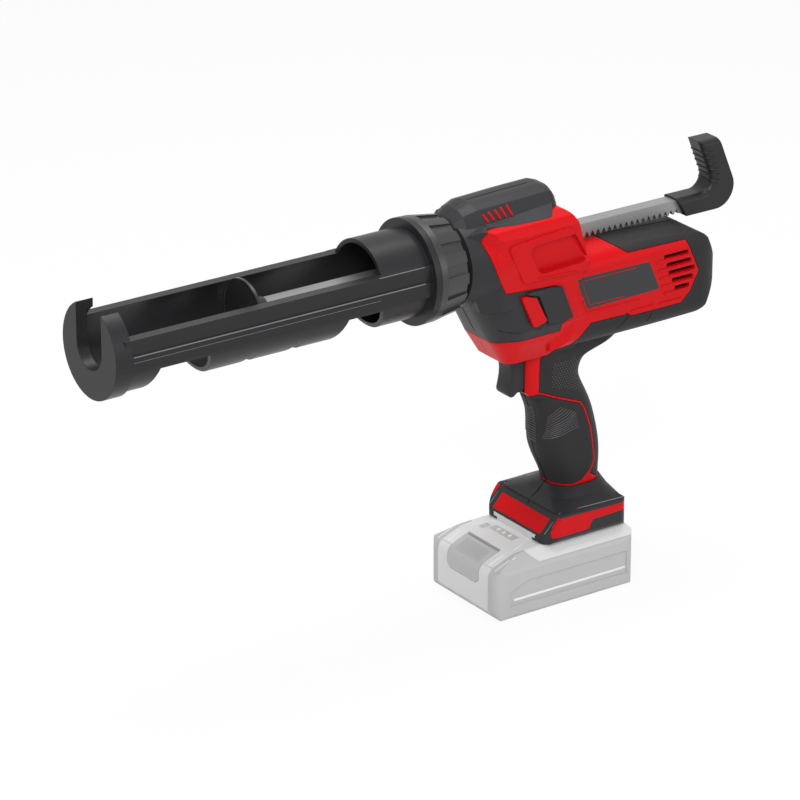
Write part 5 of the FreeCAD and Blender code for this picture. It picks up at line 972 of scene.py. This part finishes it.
def studio_world():
    """White surround, dimmer as light than as it is seen."""
    world = bpy.data.worlds.new("Studio")
    world.use_nodes = True
    nodes, links = world.node_tree.nodes, world.node_tree.links
    nodes.clear()
    strength = nodes.new("ShaderNodeMapRange")
    strength.inputs["To Min"].default_value = WORLD_LIGHT
    strength.inputs["To Max"].default_value = WORLD_SEEN
    links.new(background_rays(nodes, links), strength.inputs["Value"])
    glow, leave = nodes.new("ShaderNodeBackground"), nodes.new("ShaderNodeOutputWorld")
    links.new(strength.outputs["Result"], glow.inputs["Strength"])
    links.new(glow.outputs["Background"], leave.inputs["Surface"])
    return world


class CAULKINGTOOL_OT_stage(bpy.types.Operator):
    """Pale floor, soft lamps, white surround and the camera"""

    bl_idname = "caulking_tool.stage"
    bl_label = "Stage"

    def execute(self, context):
        scene = context.scene
        deselect_all()
        bpy.ops.mesh.primitive_plane_add(size=FLOOR_SIZE, location=(0, 0, 0))
        floor = context.object
        floor.name = "floor"
        floor.data.materials.append(floor_material())
        scene.world = studio_world()
        for name, place, size, power in LAMPS:
            deselect_all()
            bpy.ops.object.light_add(type="AREA", location=place)
            lamp = context.object
            lamp.name = f"{name} lamp"
            lamp.data.size = size
            lamp.data.energy = power
            aim = Vector(LAMP_AIM) - Vector(place)
            lamp.rotation_euler = aim.to_track_quat("-Z", "Y").to_euler()
        deselect_all()
        bpy.ops.object.camera_add()
        camera = context.object
        turn = Matrix(CAMERA_AXES).transposed().to_4x4()
        camera.matrix_world = Matrix.Translation(CAMERA_EYE) @ turn
        camera.data.lens = CAMERA_LENS
        camera.data.sensor_width = CAMERA_SENSOR
        camera.data.clip_end = CAMERA_REACH
        scene.camera = camera
        scene.view_settings.view_transform = "Standard"
        return {"FINISHED"}


class CAULKINGTOOL_PT_sidebar(bpy.types.Panel):
    """Steps that finish the tool"""

    bl_label = "Caulking tool"
    bl_space_type = "VIEW_3D"
    bl_region_type = "UI"
    bl_category = "Caulking tool"

    def draw(self, context):
        for step in STEPS:
            self.layout.operator(step.bl_idname)


STEPS = (CAULKINGTOOL_OT_finishes, CAULKINGTOOL_OT_hood_bars, CAULKINGTOOL_OT_thumb_rest,
         CAULKINGTOOL_OT_hood_ledges, CAULKINGTOOL_OT_trigger, CAULKINGTOOL_OT_neck_band,
         CAULKINGTOOL_OT_plunger, CAULKINGTOOL_OT_trough_beads, CAULKINGTOOL_OT_creases,
         CAULKINGTOOL_OT_side_trim, CAULKINGTOOL_OT_plate_line, CAULKINGTOOL_OT_grip_texture,
         CAULKINGTOOL_OT_handle_ribs, CAULKINGTOOL_OT_battery_trim, CAULKINGTOOL_OT_stage)
CLASSES = (CaulkingToolColours, CaulkingToolSizes, *STEPS, CAULKINGTOOL_PT_sidebar)


def register():
    for cls in CLASSES:
        bpy.utils.register_class(cls)
    bpy.types.Scene.caulking_tool_colours = bpy.props.PointerProperty(type=CaulkingToolColours)
    bpy.types.Scene.caulking_tool_sizes = bpy.props.PointerProperty(type=CaulkingToolSizes)


def unregister():
    del bpy.types.Scene.caulking_tool_colours
    del bpy.types.Scene.caulking_tool_sizes
    for cls in reversed(CLASSES):
        bpy.utils.unregister_class(cls)


def main():
    register()
    bpy.ops.caulking_tool.finishes()
    bpy.ops.caulking_tool.hood_bars()
    bpy.ops.caulking_tool.thumb_rest()
    bpy.ops.caulking_tool.hood_ledges()
    bpy.ops.caulking_tool.trigger()
    bpy.ops.caulking_tool.neck_band()
    bpy.ops.caulking_tool.plunger()
    bpy.ops.caulking_tool.trough_beads()
    bpy.ops.caulking_tool.creases()
    bpy.ops.caulking_tool.side_trim()
    bpy.ops.caulking_tool.plate_line()
    bpy.ops.caulking_tool.grip_texture()
    bpy.ops.caulking_tool.handle_ribs()
    bpy.ops.caulking_tool.battery_trim()
    bpy.ops.caulking_tool.stage()


if __name__ == "__main__":
    main()
